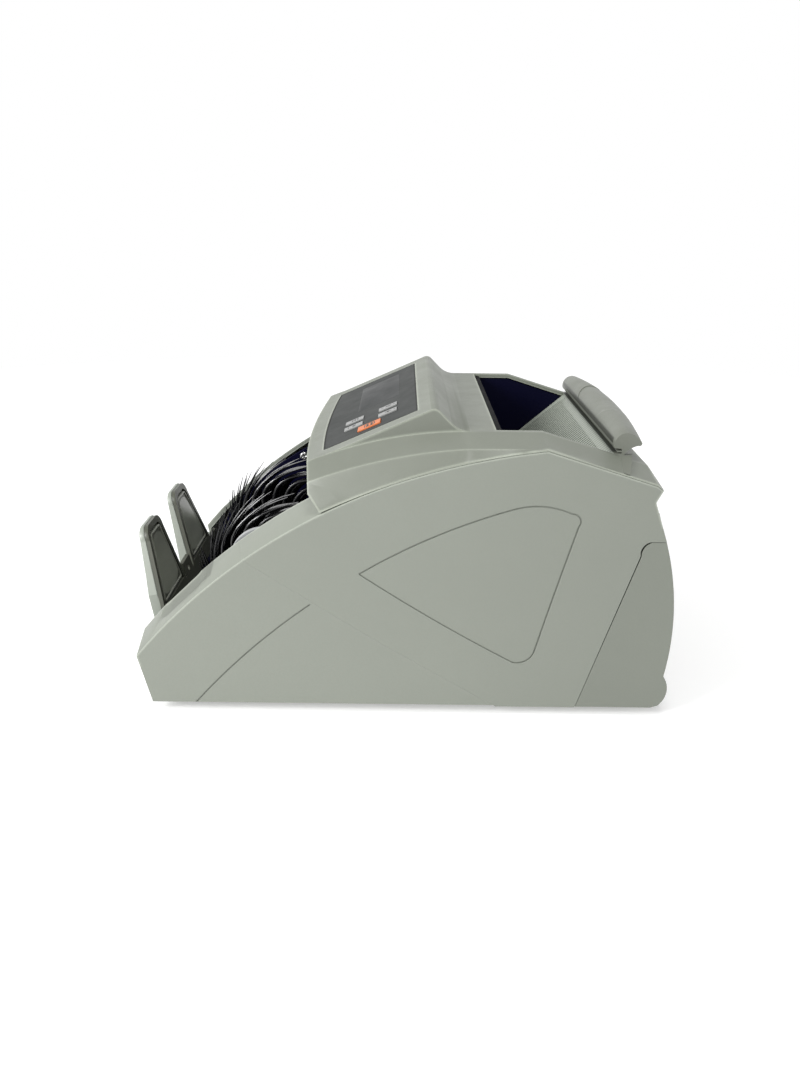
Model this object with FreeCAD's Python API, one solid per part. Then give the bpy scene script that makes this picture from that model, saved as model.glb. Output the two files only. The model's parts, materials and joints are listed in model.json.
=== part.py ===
import FreeCAD, Part
import math
import os

V = FreeCAD.Vector

# ----------------------------------------------------------------------------
# Driving dimensions, in millimetres. X is the width, the front of the machine
# faces -Y, Z is up and the rubber feet stand on Z = 0.
# ----------------------------------------------------------------------------
HALF_WIDTH = 122.0          # outer faces of the side covers
DECK_HALF = 100.0           # edge of the flat deck and inner edge of the cheeks
CREASE_HALF = (113.0, 119.5)    # crease above the shoulder's outer face, front and rear
WALL = 2.5                  # wall thickness of the moulded covers
SEAM = 0.25                 # gap between neighbouring covers
REVEAL = 0.8                # step of the top cover's edge above the side covers
RUN_CLEAR = 0.05            # radial clearance of a shaft in its bearing

FEET_HEIGHT = 4.0
FLOOR_TOP = FEET_HEIGHT + 2.5
SKIRT_Z = 5.4               # lower edge of the covers
NOSE_TOP = (-147.0, 34.3)
NOSE_FOOT = (-139.4, SKIRT_Z)
ARCH_MID = (-32.0, 124.4)   # point on the arched top edge of the side covers
APEX = (82.4, 157.2)
REAR_SHOULDER = (142.4, 138.6)
REAR_CORNER = (145.9, 136.1)
REAR_NOTCH = (142.4, 129.3)
REAR_PAD = 158.95           # flat pad on the rear cover for the electrical fittings
REAR_END = 159.78           # outer faces of the fittings' plates
WING_TOP = (150.4, 106.4)   # top of the rear cover's side wings
CHEEK_RISE = 7.7            # rise of the cheek band from its outer to its inner edge

SCOOP_X = 107.0             # finger scoop in the cheek band: its middle, radius and depth
SCOOP_R = 16.0
SCOOP_DEPTH = 2.0
SCOOP_ENDS = (-130.0, -112.5)

DECK_Z = 162.8              # flat top deck
DECK_FLAT = (40.0, 81.8)    # front and rear end of the flat stretch
DECK_FALL = 0.00228         # curvature of the deck in front of the flat stretch
CREASE_Z = 157.6
CREASE_FLAT = 60.0
CREASE_FALL = 0.001826
ROOF_FRONT = -62.0          # the roof's section starts here and is trimmed to the bowed front
DECK_REAR = (141.5, 144.4)
LIP_CORNER = (151.4, 131.0)
LIP_FOOT = (148.4, 123.5)

BOX_FRONT = (-47.9, 144.6)  # front edge of the display box
BOX_TOP = (22.6, 175.9)     # its top edge
BOX_BACK = (35.6, 162.8)    # foot of its rear slope
CREST_LEG = 3.2             # the rounding of its top edge starts this far from the corner
FOOT_LEG = 6.0              # and the hollow at the foot of the rear slope this far
FRONT_BOW = 4.5             # forward bow of the box's front at mid width

HOPPER_HALF = 96.0
HOPPER_FRONT = 56.5
HOPPER_REAR = 126.0

BOSS = (-75.4, 84.0)        # round boss inside the right-hand cheek
IMPELLER = (-73.5, 58.5)
IMPELLER_R = 50.5
WHEEL_X = 45.0
WHEEL_WIDTH = 24.0
BLADES = 18
BLADE_THICK = 1.2
BLADE_POINTS = ((11.0, 0.0), (34.0, -0.48), (IMPELLER_R, -1.22))    # radius and angle
TRANSPORT = (-8.0, 70.0)
TRANSPORT_R = 14.0
PINCH_R = 8.0
FEED = (74.3, 77.3)
FEED_R = 22.0
PICKUP_R = 12.0
SHAFT_R = 4.0
DRIVE_MOTOR = (4.0, 30.0)
FEED_MOTOR = (40.0, 34.0)
MOTOR_R = 17.0

PLATE_TOP = (121.0, 146.4)  # upper end of the feed plate's surface
PLATE_FOOT = (62.0, 95.8)   # lower end, tangent to the feed drum
PLATE_THICK = 2.6
HANDLE_HALF = 97.0
HANDLE_ARCH = (4.0, 3.2)    # how far the handle's middle stands back and up
THUMB_HALF = 30.0
RIB_PITCH = 3.8             # fine ribs up the feed plate
RIB_WIDTH = 1.7
RIB_HEIGHT = 0.8
RIB_SPAN = 88.0             # half width of the ribbed area

FRAME_X = 101.5             # inner face of the steel side frames
FRAME_THICK = 2.0
LINER_X = 96.6              # inner face of the dark blue liners
LINER_THICK = 2.6

PRONG_BASE_Y = -145.5       # the prongs' rear faces at PRONG_BASE_Z
PRONG_BASE_Z = 60.0
PRONG_LEAN = 0.274          # forward lean, dy/dz
PRONG_TOP = 90.5
PRONG_DEPTHS = ((91.4, 2.7), (89.8, 4.5), (88.0, 5.5), (85.0, 6.0), (60.0, 7.8), (34.0, 10.2),
                (28.0, 10.2))       # height and thickness, rounded over the top
LINING = 2.4                # thickness of the stopper's dark rear lining
SHELL_START = LINING + 0.15   # the stopper's front shell starts this far in front of the rear faces

PANEL_ANGLE = math.degrees(math.atan2(BOX_TOP[1] - BOX_FRONT[1], BOX_TOP[0] - BOX_FRONT[0]))
PLATE_ANGLE = math.degrees(math.atan2(PLATE_TOP[1] - PLATE_FOOT[1], PLATE_TOP[0] - PLATE_FOOT[0]))
PLATE_LENGTH = math.hypot(PLATE_TOP[0] - PLATE_FOOT[0], PLATE_TOP[1] - PLATE_FOOT[1])

KEY_SIZE = (8.2, 12.0)      # across the panel and up its slope
KEY_PLACES = {
    "key_reset": (39.0, 47.3),
    "key_add": (55.6, 47.3),
    "key_batch": (39.0, 25.2),
    "key_mode": (55.6, 25.2),
}
START_KEY = (71.3, 35.9)
START_SIZE = (11.0, 14.4)
KEY_TRAVEL = 0.8
OVERLAY_HALF = 86.0
OVERLAY_S = (8.0, 66.0)     # distance of the overlay's ends up the panel slope
OVERLAY_BOW = 3.0
OVERLAY_THICK = 1.2
DISPLAY_X = -28.0

shapes = {}


# ----------------------------------------------------------------------------
# Helpers
# ----------------------------------------------------------------------------
def closed_wire(x, start, *steps):
    """Closed wire in the plane X = x. A step is a corner (y, z), or a pair
    ((y, z) on the arc, (y, z) at its end)."""
    def at(p):
        return V(x, p[0], p[1])
    edges, here = [], start
    for step in steps + (start,):
        if isinstance(step[0], tuple):
            edges.append(Part.Arc(at(here), at(step[0]), at(step[1])).toShape())
            here = step[1]
        elif math.hypot(step[0] - here[0], step[1] - here[1]) > 1e-6:
            edges.append(Part.LineSegment(at(here), at(step)).toShape())
            here = step
    return Part.Wire(edges)


def prism(x0, x1, start, *steps):
    """Solid between X = x0 and X = x1 with a closed outline in Y and Z."""
    return Part.Face(closed_wire(x0, start, *steps)).extrude(V(x1 - x0, 0, 0))


def box(x0, x1, y0, y1, z0, z1):
    return Part.makeBox(x1 - x0, y1 - y0, z1 - z0, V(x0, y0, z0))


def rod(x0, x1, centre, radius):
    """Cylinder along X."""
    return Part.makeCylinder(radius, x1 - x0, V(x0, centre[0], centre[1]), V(1, 0, 0))


def ring(x0, x1, centre, outer, inner):
    return rod(x0, x1, centre, outer).cut(rod(x0 - 1, x1 + 1, centre, inner))


def post(centre, z0, z1, radius):
    """Cylinder along Z."""
    return Part.makeCylinder(radius, z1 - z0, V(centre[0], centre[1], z0))


def mirrored(shape):
    return shape.mirror(V(0, 0, 0), V(1, 0, 0))


def fuse(parts):
    result = parts[0]
    if len(parts) > 1:
        result = result.multiFuse(parts[1:])
    return result.removeSplitter()


def add(name, shape):
    shapes[name] = shape


def on_panel(shape, x, s, height=0.0):
    """Place a shape built on the XY plane onto the display panel, s up its slope."""
    angle = math.radians(PANEL_ANGLE)
    placed = shape.copy()
    placed.rotate(V(0, 0, 0), V(1, 0, 0), PANEL_ANGLE)
    y = BOX_FRONT[0] + s * math.cos(angle) - height * math.sin(angle)
    z = BOX_FRONT[1] + s * math.sin(angle) + height * math.cos(angle)
    placed.translate(V(x, y, z))
    return placed


def on_plate(shape, distance):
    """Place a shape built on the XY plane onto the feed plate, at a distance
    up from its foot."""
    angle = math.radians(PLATE_ANGLE)
    placed = shape.copy()
    placed.rotate(V(0, 0, 0), V(1, 0, 0), PLATE_ANGLE)
    placed.translate(V(0, PLATE_FOOT[0] + distance * math.cos(angle),
                       PLATE_FOOT[1] + distance * math.sin(angle)))
    return placed


def below_plate(distance, depth):
    """Point at a depth below the feed plate's surface, a distance up from its foot."""
    angle = math.radians(PLATE_ANGLE)
    return (PLATE_FOOT[0] + distance * math.cos(angle) + depth * math.sin(angle),
            PLATE_FOOT[1] + distance * math.sin(angle) - depth * math.cos(angle))


PICKUP = below_plate(43.0, PICKUP_R - 1.2)


def pinch_centre():
    """The pinch rollers sit above the transport rollers, a note's thickness clear."""
    lean = math.radians(100)
    reach = TRANSPORT_R + PINCH_R + 0.2
    return (TRANSPORT[0] + reach * math.cos(lean), TRANSPORT[1] + reach * math.sin(lean))


PINCH = pinch_centre()


# ----------------------------------------------------------------------------
# Outlines of the covers
# ----------------------------------------------------------------------------
def deck_z(y):
    """Height of the deck's edge in front of its flat stretch."""
    return DECK_Z - DECK_FALL * max(0.0, DECK_FLAT[0] - y) ** 2


def crease_z(y):
    return CREASE_Z - CREASE_FALL * max(0.0, CREASE_FLAT - y) ** 2


def side_wire(x, rise, inset):
    """Outline of a side cover: arched top edge, raised by rise, all moved in by inset."""
    up = rise - 1.15 * inset
    return closed_wire(
        x,
        (NOSE_FOOT[0] + inset, SKIRT_Z - 4 * inset),
        (NOSE_TOP[0] + inset, NOSE_TOP[1] + up),
        ((ARCH_MID[0], ARCH_MID[1] + up), (APEX[0], APEX[1] + up)),
        (REAR_SHOULDER[0] - inset, REAR_SHOULDER[1] + up),
        (REAR_CORNER[0] - inset, REAR_CORNER[1] + up),
        (REAR_NOTCH[0] - inset, REAR_NOTCH[1]),
        (WING_TOP[0] - inset, WING_TOP[1] + 0.3 + inset),
        (141.5 - inset, WING_TOP[1] + 0.3 + inset),
        ((138.4 - inset, 104.9 + inset), (136.6 - inset, 98.5)),
        (106.2 - inset, SKIRT_Z - 0.8 - 4 * inset),
        (60.0, SKIRT_Z - 0.8 - 4 * inset),
        (59.0, SKIRT_Z - 4 * inset),
    )


def seam_region(gap):
    """Everything above the seam between the side covers and the top cover."""
    return prism(
        -130, 130,
        (-40.6 - gap, 121.2 - gap),
        ((20.0, seam_z(20.0) - gap), (APEX[0], APEX[1] - gap)),
        (REAR_SHOULDER[0], REAR_SHOULDER[1] - gap),
        (REAR_CORNER[0], REAR_CORNER[1] - gap),
        (160, REAR_CORNER[1] - gap),
        (160, 200),
        (-70.0 - gap, 200),
        (-70.0 - gap, 159.3),
        (-50.4 - gap, 134.0),
    )


def seam_z(y):
    """Height of the side covers' arched top edge."""
    a, b, c = NOSE_TOP, ARCH_MID, APEX
    circle = Part.Circle(V(a[0], a[1], 0), V(b[0], b[1], 0), V(c[0], c[1], 0))
    return circle.Center.y + math.sqrt(circle.Radius ** 2 - (y - circle.Center.x) ** 2)


def roof_wire(x_at, curve, drop, rear, lip, lip_foot, depth):
    """Line along the top cover: its top edge, rear lip and a deep underside.
    x_at(y) gives its X, so that the crease can spread outwards to the rear."""
    def at(y, z):
        return V(x_at(y), y, z)
    samples = [at(y, curve(y) - drop) for y in (ROOF_FRONT, -28.0, 6.0, DECK_FLAT[0])]
    spline = Part.BSplineCurve()
    spline.interpolate(samples)
    flat_end = at(DECK_FLAT[1], curve(DECK_FLAT[1]) - drop)
    corners = [flat_end, at(*rear), at(*lip), at(*lip_foot), at(lip_foot[0], depth),
               at(ROOF_FRONT, depth), samples[0]]
    edges = [spline.toShape(), Part.LineSegment(samples[-1], flat_end).toShape()]
    edges += [Part.LineSegment(p, q).toShape() for p, q in zip(corners, corners[1:])]
    return Part.Wire(edges)


def crease_x(y):
    """The crease runs outwards until it meets the side covers' edge at the apex."""
    along = (y - ROOF_FRONT) / (DECK_FLAT[1] - ROOF_FRONT)
    return CREASE_HALF[0] + (CREASE_HALF[1] - CREASE_HALF[0]) * min(1.0, along)


def roof_block(inset, depth):
    """Solid under the deck and its shoulders. An inset of WALL gives its inside."""
    drop = 1.05 * inset
    lines = (
        (lambda y: HALF_WIDTH - inset, lambda y: seam_z(min(y, APEX[0])) + REVEAL,
         (REAR_SHOULDER[0], REAR_SHOULDER[1] + REVEAL), (REAR_CORNER[0] - 0.3, REAR_CORNER[1]), REAR_NOTCH),
        (lambda y: crease_x(y) - 0.6 * inset, crease_z, (142.3, 140.0), (146.5, 135.4), (143.1, 128.6)),
        (lambda y: DECK_HALF - 0.2 * inset, deck_z, DECK_REAR, LIP_CORNER, LIP_FOOT),
    )
    wires = []
    for side, ordered in ((-1, lines), (1, lines[::-1])):
        for x_at, curve, rear, lip, foot in ordered:
            wires.append(roof_wire(
                lambda y, side=side, x_at=x_at: side * x_at(y), curve, drop,
                (rear[0] - 0.4 * inset, rear[1] - drop), (lip[0] - inset, lip[1] - 0.4 * inset),
                (foot[0] - inset, foot[1]), depth))
    return Part.makeLoft(wires, True, True)


def eased(before, corner, after, leg):
    """Steps that round a corner of an outline with an arc which starts a leg away from it."""
    arms = []
    for y, z in (before, after):
        dy, dz = y - corner[0], z - corner[1]
        size = math.hypot(dy, dz)
        arms.append((dy / size, dz / size))
    half = math.acos(arms[0][0] * arms[1][0] + arms[0][1] * arms[1][1]) / 2
    reach = leg * (1 - math.sin(half)) / math.cos(half)
    middle = [(arms[0][i] + arms[1][i]) / (2 * math.cos(half)) for i in (0, 1)]
    start, end = [(corner[0] + leg * y, corner[1] + leg * z) for y, z in arms]
    return start, ((corner[0] + reach * middle[0], corner[1] + reach * middle[1]), end)


def display_block(inset):
    """Raised display box with its sloping panel, rounded crest and hollowed rear slope."""
    slope = (BOX_TOP[1] - BOX_FRONT[1]) / (BOX_TOP[0] - BOX_FRONT[0])
    drop = inset * math.hypot(1, slope)
    front = (ROOF_FRONT, BOX_FRONT[1] - slope * (BOX_FRONT[0] - ROOF_FRONT) - drop)
    top = (BOX_TOP[0] - 0.3 * inset, BOX_TOP[1] - 0.3 * inset * slope - drop)
    back = (BOX_BACK[0] - 1.2 * inset, BOX_BACK[1])
    crest, foot, end = (top,), (back,), back[0]
    if not inset:
        crest = eased(front, top, back, CREST_LEG)
        foot = eased(top, back, (back[0] + FOOT_LEG, back[1]), FOOT_LEG)
        end = back[0] + FOOT_LEG
    return prism(-(DECK_HALF - inset), DECK_HALF - inset, front, *crest, *foot, (end, 130), (ROOF_FRONT, 118))


def front_mask(inset):
    """Region behind the bowed front of the top cover, with its backward slope below."""
    front, half = -49.2 + inset, HALF_WIDTH + 8
    bow = FRONT_BOW * (half / DECK_HALF) ** 2
    arc = Part.Arc(V(-half, front - FRONT_BOW + bow, 90), V(0, front - FRONT_BOW, 90),
                   V(half, front - FRONT_BOW + bow, 90)).toShape()
    corners = [V(half, front - FRONT_BOW + bow, 90), V(half, 170, 90), V(-half, 170, 90),
               V(-half, front - FRONT_BOW + bow, 90)]
    edges = [arc] + [Part.LineSegment(p, q).toShape() for p, q in zip(corners, corners[1:])]
    block = Part.Face(Part.Wire(edges)).extrude(V(0, 0, 110))
    below = prism(-140, 140, (-62 + inset, 149), (-50.4 + inset, 134), (-40.6 + inset, 121.2),
                  (-18 + inset, 91), (-18 + inset, 80), (-62 + inset, 80))
    return block.cut(below)


# ----------------------------------------------------------------------------
# Housing
# ----------------------------------------------------------------------------
def overlay_wire(inset, height):
    """Outline of the display overlay, in the panel's own plane."""
    half = OVERLAY_HALF + inset
    low, high = OVERLAY_S[0] - inset, OVERLAY_S[1] + inset
    corners = [V(half, low, height), V(half, high, height), V(-half, high, height), V(-half, low, height)]
    edges = [Part.LineSegment(p, q).toShape() for p, q in zip(corners, corners[1:])]
    edges.append(Part.Arc(corners[3], V(0, low - OVERLAY_BOW, height), corners[0]).toShape())
    return Part.Wire(edges)


def key_rect(x, s, width, length, low, high):
    return on_panel(box(-width / 2, width / 2, -length / 2, length / 2, low, high), x, s)


def all_keys():
    places = {name: place + KEY_SIZE for name, place in KEY_PLACES.items()}
    places["key_start"] = START_KEY + START_SIZE
    return places


def make_top_cover():
    outer = fuse([roof_block(0, 80), display_block(0)]).common(front_mask(0))
    inner = fuse([roof_block(WALL, 70), display_block(WALL)]).common(front_mask(WALL))
    shell = outer.cut(inner)
    rear_lip = box(-inside_width(), inside_width(), 132, 160, LIP_FOOT[1], 140)
    shell = shell.common(seam_region(0).fuse(rear_lip))
    opening = box(-HOPPER_HALF, HOPPER_HALF, HOPPER_FRONT, HOPPER_REAR, 100, 190)
    recess = on_panel(Part.Face(overlay_wire(0.2, 0)).extrude(V(0, 0, 6)), 0, 0, -OVERLAY_THICK)
    shell = shell.cut(opening).cut(recess)
    for x, s, width, length in all_keys().values():
        shell = shell.cut(key_rect(x, s, width + 3.2, length + 3.2, -8, 4))
    display_window = key_rect(DISPLAY_X, 40, 84, 30, -8, 4)
    shell = shell.cut(display_window)
    knob_hole = post((0, 142.5), 110, 170, SHAFT_R + 0.4)
    shell = shell.cut(knob_hole)
    add("top_cover", biggest(shell))


def inside_width():
    """Half width between the side covers' walls, less the seam."""
    return HALF_WIDTH - WALL - SEAM


def biggest(shape):
    """The largest solid of a cut shape, without the slivers beside it."""
    return max(shape.Solids, key=lambda s: s.Volume)


def trim_groove(start, *steps):
    """Shallow groove along an open path of corners and arcs on a side cover's face."""
    def at(p):
        return V(HALF_WIDTH, p[0], p[1])
    edges, here = [], start
    for step in steps:
        if isinstance(step[0], tuple):
            edges.append(Part.Arc(at(here), at(step[0]), at(step[1])).toShape())
            here = step[1]
        else:
            edges.append(Part.LineSegment(at(here), at(step)).toShape())
            here = step
    grooves = []
    for edge in edges:
        direction = edge.tangentAt(edge.FirstParameter)
        start_point = edge.valueAt(edge.FirstParameter)
        side = direction.cross(V(1, 0, 0)).normalize() * 0.45
        corners = [start_point + side + V(1, 0, 0), start_point - side + V(1, 0, 0),
                   start_point - side - V(0.7, 0, 0), start_point + side - V(0.7, 0, 0)]
        section = Part.Wire([Part.LineSegment(p, q).toShape()
                             for p, q in zip(corners, corners[1:] + corners[:1])])
        sweep = Part.Wire([edge]).makePipeShell([section], True, True)
        grooves.append(sweep)
    return grooves


def finger_scoop():
    """Capsule that hollows the cheek's top band a little, where fingers reach for the notes."""
    normal = V(0.238, -0.694, 0.68)
    ends = [V(SCOOP_X, y, seam_z(y) + CHEEK_RISE * (HALF_WIDTH - SCOOP_X) / (HALF_WIDTH - DECK_HALF))
            + normal * (SCOOP_R - SCOOP_DEPTH) for y in SCOOP_ENDS]
    line = ends[1] - ends[0]
    body = Part.makeCylinder(SCOOP_R, line.Length, ends[0], line)
    return body.multiFuse([Part.makeSphere(SCOOP_R, end) for end in ends])


def make_side_covers():
    outer = Part.makeLoft([side_wire(HALF_WIDTH, 0, 0), side_wire(DECK_HALF, CHEEK_RISE, 0)], True, True)
    inner = Part.makeLoft([side_wire(HALF_WIDTH - WALL, 0, WALL),
                           side_wire(DECK_HALF - 2, CHEEK_RISE + 0.7, WALL)], True, True)
    cover = outer.cut(inner).cut(seam_region(SEAM))
    rib_room = box(90, HALF_WIDTH - WALL, -40, 170, -5, 165)
    cover = cover.cut(rib_room)
    cover = cover.cut(finger_scoop())
    triangle = trim_groove((-19.1, 86.1), ((30.5, 112.0), (66.0, 124.8)),
                           ((84.0, 126.2), (97.5, 122.4)), ((101.9, 119.6), (101.2, 115.0)),
                           ((91.5, 80.5), (80.8, 40.4)), ((76.2, 34.2), (68.5, 33.3)),
                           ((33.0, 53.2), (-19.1, 86.1)))
    front_arc = trim_groove((-114.0, 5.6), ((-84.0, 36.8), (-46.8, 67.5)))
    for groove in triangle + front_arc:
        cover = cover.cut(groove)
    cover = biggest(cover)
    add("right_side_cover", cover)
    add("left_side_cover", mirrored(cover))


def rear_wire(x, push, inset):
    """Outline of the rear cover: groove edge in front, curved back, rounded bulge at the foot."""
    out = push - inset
    return closed_wire(
        x,
        (106.6 + inset, SKIRT_Z - 0.4 - 4 * inset),
        (137.2 + inset, 98.2),
        ((139.4 + inset, 104.4), (142.2 + inset, WING_TOP[1] - 0.2)),
        (142.2 + inset, 122.5 + 4 * inset),
        (145.4 + out, 122.5 + 4 * inset),
        (WING_TOP[0] + out, WING_TOP[1]),
        ((158.3 + out, 65.0), (156.2 + out, 25.0)),
        ((159.03 + out, 15.9), (154.3 + out, SKIRT_Z + 0.8 - 4 * inset)),
        (150.3 + out, SKIRT_Z - 0.4 - 4 * inset),
    )


def make_rear_cover():
    push = 0.2
    outer = Part.makeLoft([rear_wire(-HALF_WIDTH, 0, 0), rear_wire(-HALF_WIDTH + 10, push, 0),
                           rear_wire(HALF_WIDTH - 10, push, 0), rear_wire(HALF_WIDTH, 0, 0)], True, True)
    inner = Part.makeLoft([rear_wire(-HALF_WIDTH + WALL, 0, WALL), rear_wire(-HALF_WIDTH + 11, push, WALL),
                           rear_wire(HALF_WIDTH - 11, push, WALL), rear_wire(HALF_WIDTH - WALL, 0, WALL)],
                          True, True)
    pad = box(-10.5, 80.5, 153.0, REAR_PAD, 24.0, 55.0)
    cover = outer.cut(inner).fuse(pad.cut(inner))
    inside = HALF_WIDTH - WALL
    cover = cover.cut(box(-inside, inside, 100, 143.5, -5, 140))
    for side in (-1, 1):
        corner_x = sorted((side * (inside - SEAM), side * 130))
        cover = cover.cut(box(corner_x[0], corner_x[1], 120, 175, WING_TOP[1], 140))
    for row in range(7):
        z = 58 + 6.0 * row
        cover = cover.cut(box(-82, -30, 140, 175, z, z + 2.6))
    cover = cover.cut(box(44.2, 75.8, 140, 175, 27.2, 51.8))
    cover = cover.cut(box(14.1, 33.9, 140, 175, 30.1, 49.9))
    cover = cover.cut(Part.makeCylinder(6.1, 40, V(0, 140, 40), V(0, 1, 0)))
    add("rear_cover", biggest(cover))


def make_base():
    floor = box(-inside_width(), inside_width(), -136.6, 149.0, FEET_HEIGHT, FLOOR_TOP)
    wall_rear = box(-116, 116, 137.5, 140, FEET_HEIGHT, 13)
    sides = [box(s * 116.5 - 1.25, s * 116.5 + 1.25, -110, 140, FEET_HEIGHT, 13) for s in (-1, 1)]
    nose = prism(-99.6, 99.6, (-139.2, FEET_HEIGHT), (-139.2, SKIRT_Z), (-146.6, 33.2), (-142.6, 35.2),
                 (-139.0, 33.0), (-138.8, 17.0), (-136.0, 8.0), (-136.0, FEET_HEIGHT))
    add("base_tray", fuse([floor, nose, wall_rear] + sides))
    feet = []
    for x in (-98, 98):
        for y in (-118, 124):
            pad = post((x, y), 0, FEET_HEIGHT, 9.0)
            feet.append(pad.makeChamfer(0.8, [e for e in pad.Edges
                                              if e.BoundBox.ZMax < 0.01 and e.BoundBox.XLength > 1]))
    add("rubber_feet", Part.makeCompound(feet))


def prong_y(z):
    """Y of the prongs' rear faces at a height."""
    return PRONG_BASE_Y - PRONG_LEAN * (z - PRONG_BASE_Z)


def prong_face(side, inset, z_low, z_top):
    """Outline of one prong's rear face, in the leaning plane, with rounded shoulders."""
    def inner(z):
        return 16.1 + 0.222 * (z - PRONG_BASE_Z) + inset
    def outer(z):
        return 66.8 - 0.4256 * (z - PRONG_BASE_Z) - inset
    top = z_top - inset
    low, high = inner(top - 8), outer(top - 8)
    def at(x, z):
        return V(side * x, prong_y(z), z)
    edges = [Part.LineSegment(at(inner(z_low), z_low), at(low, top - 8)).toShape(),
             Part.Arc(at(low, top - 8), at(low + 2.7, top - 2.1), at(low + 8, top)).toShape(),
             Part.LineSegment(at(low + 8, top), at(high - 9, top)).toShape(),
             Part.Arc(at(high - 9, top), at(high - 3.1, top - 2.2), at(high, top - 8)).toShape(),
             Part.LineSegment(at(high, top - 8), at(outer(z_low), z_low)).toShape(),
             Part.LineSegment(at(outer(z_low), z_low), at(inner(z_low), z_low)).toShape()]
    return Part.Face(Part.Wire(edges))


def leaning_plate(half, low, high, near, far):
    """Plate parallel to the prongs, between two depths in front of their rear faces."""
    return prism(-half, half, (prong_y(low) - near, low), (prong_y(high) - near, high),
                 (prong_y(high) - far, high), (prong_y(low) - far, low))


def make_front_stopper():
    """Two leaning prongs that close the pocket's front: a light shell in front, and a dark
    lining behind it with the cross plate and a middle bar."""
    lean = V(0, -1, -PRONG_LEAN).normalize()
    profile = prism(-70, 70, (prong_y(28.0) - SHELL_START, 28.0), (prong_y(92.0) - SHELL_START, 92.0),
                    *[(prong_y(z) - depth, z) for z, depth in PRONG_DEPTHS])
    shells, linings, pockets, islands = [], [], [], []
    for side in (-1, 1):
        shells.append(prong_face(side, 0, 30.0, PRONG_TOP).extrude(lean * 12.0).common(profile))
        linings.append(prong_face(side, 0.5, 30.0, PRONG_TOP).extrude(lean * LINING))
        pockets.append(prong_face(side, 4.2, 43.0, PRONG_TOP).extrude(lean * 1.5))
        island = prong_face(side, 5.6, 44.4, PRONG_TOP).extrude(lean * 0.9)
        island.translate(lean * 0.7)
        islands.append(island)
    shell = fuse(shells + [leaning_plate(96.0, 28.0, 38.0, SHELL_START, 7.0)])
    cross_plate = leaning_plate(96.2, 28.0, 41.0, 0, LINING)
    middle_bar = leaning_plate(10.0, 28.0, 50.0, 0, LINING)
    lining = fuse(linings + [cross_plate, middle_bar])
    for pocket in pockets:
        lining = lining.cut(pocket)
    lining = fuse([lining] + islands)
    hole = Part.makeCylinder(2.2, 40, V(0, prong_y(44) - 20, 44 - 20 * 0.27), V(0, 1, 0.27))
    nose_room = prism(-130, 130, (-160, 0), (-160, 33.6), (-142.6, 35.4), (-138.8, 33.2),
                      (-138.6, 10), (-120, 0))
    add("front_stopper", biggest(shell.cut(nose_room)))
    add("stopper_lining", biggest(lining.cut(hole).cut(nose_room)))


def make_stacker_tray():
    """Curved floor of the pocket, slotted for the two impellers."""
    half = 96.2
    tray = prism(-half, half, (-137.6, 33.5), ((-131.0, 24.5), (-120.0, 21.5)), (-34.0, 21.5),
                 ((-22.0, 25.5), (-17.0, 35.0)), (-17.0, 44.0), (-23.6, 58.0), (-25.4, 79.6), (-27.2, 79.6),
                 (-25.4, 57.4), (-19.0, 43.6), (-19.5, 36.0),
                 ((-24.0, 27.8), (-35.0, 24.2)), (-119.0, 24.2), ((-128.6, 26.6), (-135.4, 34.6)))
    for side in (-1, 1):
        low, high = sorted((side * (WHEEL_X - WHEEL_WIDTH / 2 - 2), side * (WHEEL_X + WHEEL_WIDTH / 2 + 2)))
        tray = tray.cut(box(low, high, -127.0, -16.0, 10, 90))
    tray = tray.cut(rod(-110, 110, IMPELLER, 8))
    add("stacker_tray", biggest(tray))


def liner_outline(x):
    """Dark blue liner: cheek, a dip under the display box and the hopper wall."""
    return closed_wire(
        x,
        (-135.5, 12.0), (-136.6, 41.5), ((-94.0, 88.4), (-42.0, 117.6)),
        (-30.0, 122.0), (20.0, 138.0), (52.0, 146.0), (57.0, 159.6), (81.0, 159.6), (119.6, 147.6),
        (124.0, 145.6), (132.0, 120.0), (132.0, 12.0),
    )


def make_liners():
    blank = Part.Face(liner_outline(LINER_X)).extrude(V(LINER_THICK, 0, 0))
    for centre in (IMPELLER, TRANSPORT, PINCH, FEED, PICKUP):
        blank = blank.cut(rod(90, 110, centre, 7.0))
    for centre in ROD_PLACES:
        blank = blank.cut(rod(90, 110, centre, 4.4))
    left = mirrored(blank)
    left = left.cut(rod(-110, -90, DRIVE_MOTOR, MOTOR_R + 0.4))
    right = blank.cut(rod(90, 110, FEED_MOTOR, MOTOR_R + 0.4))
    add("right_liner", right)
    add("left_liner", left)
    face = LINER_X - 0.05
    boss = rod(face - 4.0, face, BOSS, 20.0).cut(rod(80, 120, IMPELLER, 8))
    for radius in (17.0, 13.4):
        boss = boss.cut(ring(face - 5.0, face - 3.2, BOSS, radius, radius - 0.8))
    add("liner_boss", biggest(boss))


ROD_PLACES = ((-118.0, 13.0), (24.0, 14.0), (118.0, 60.0), (36.0, 120.0))


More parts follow.
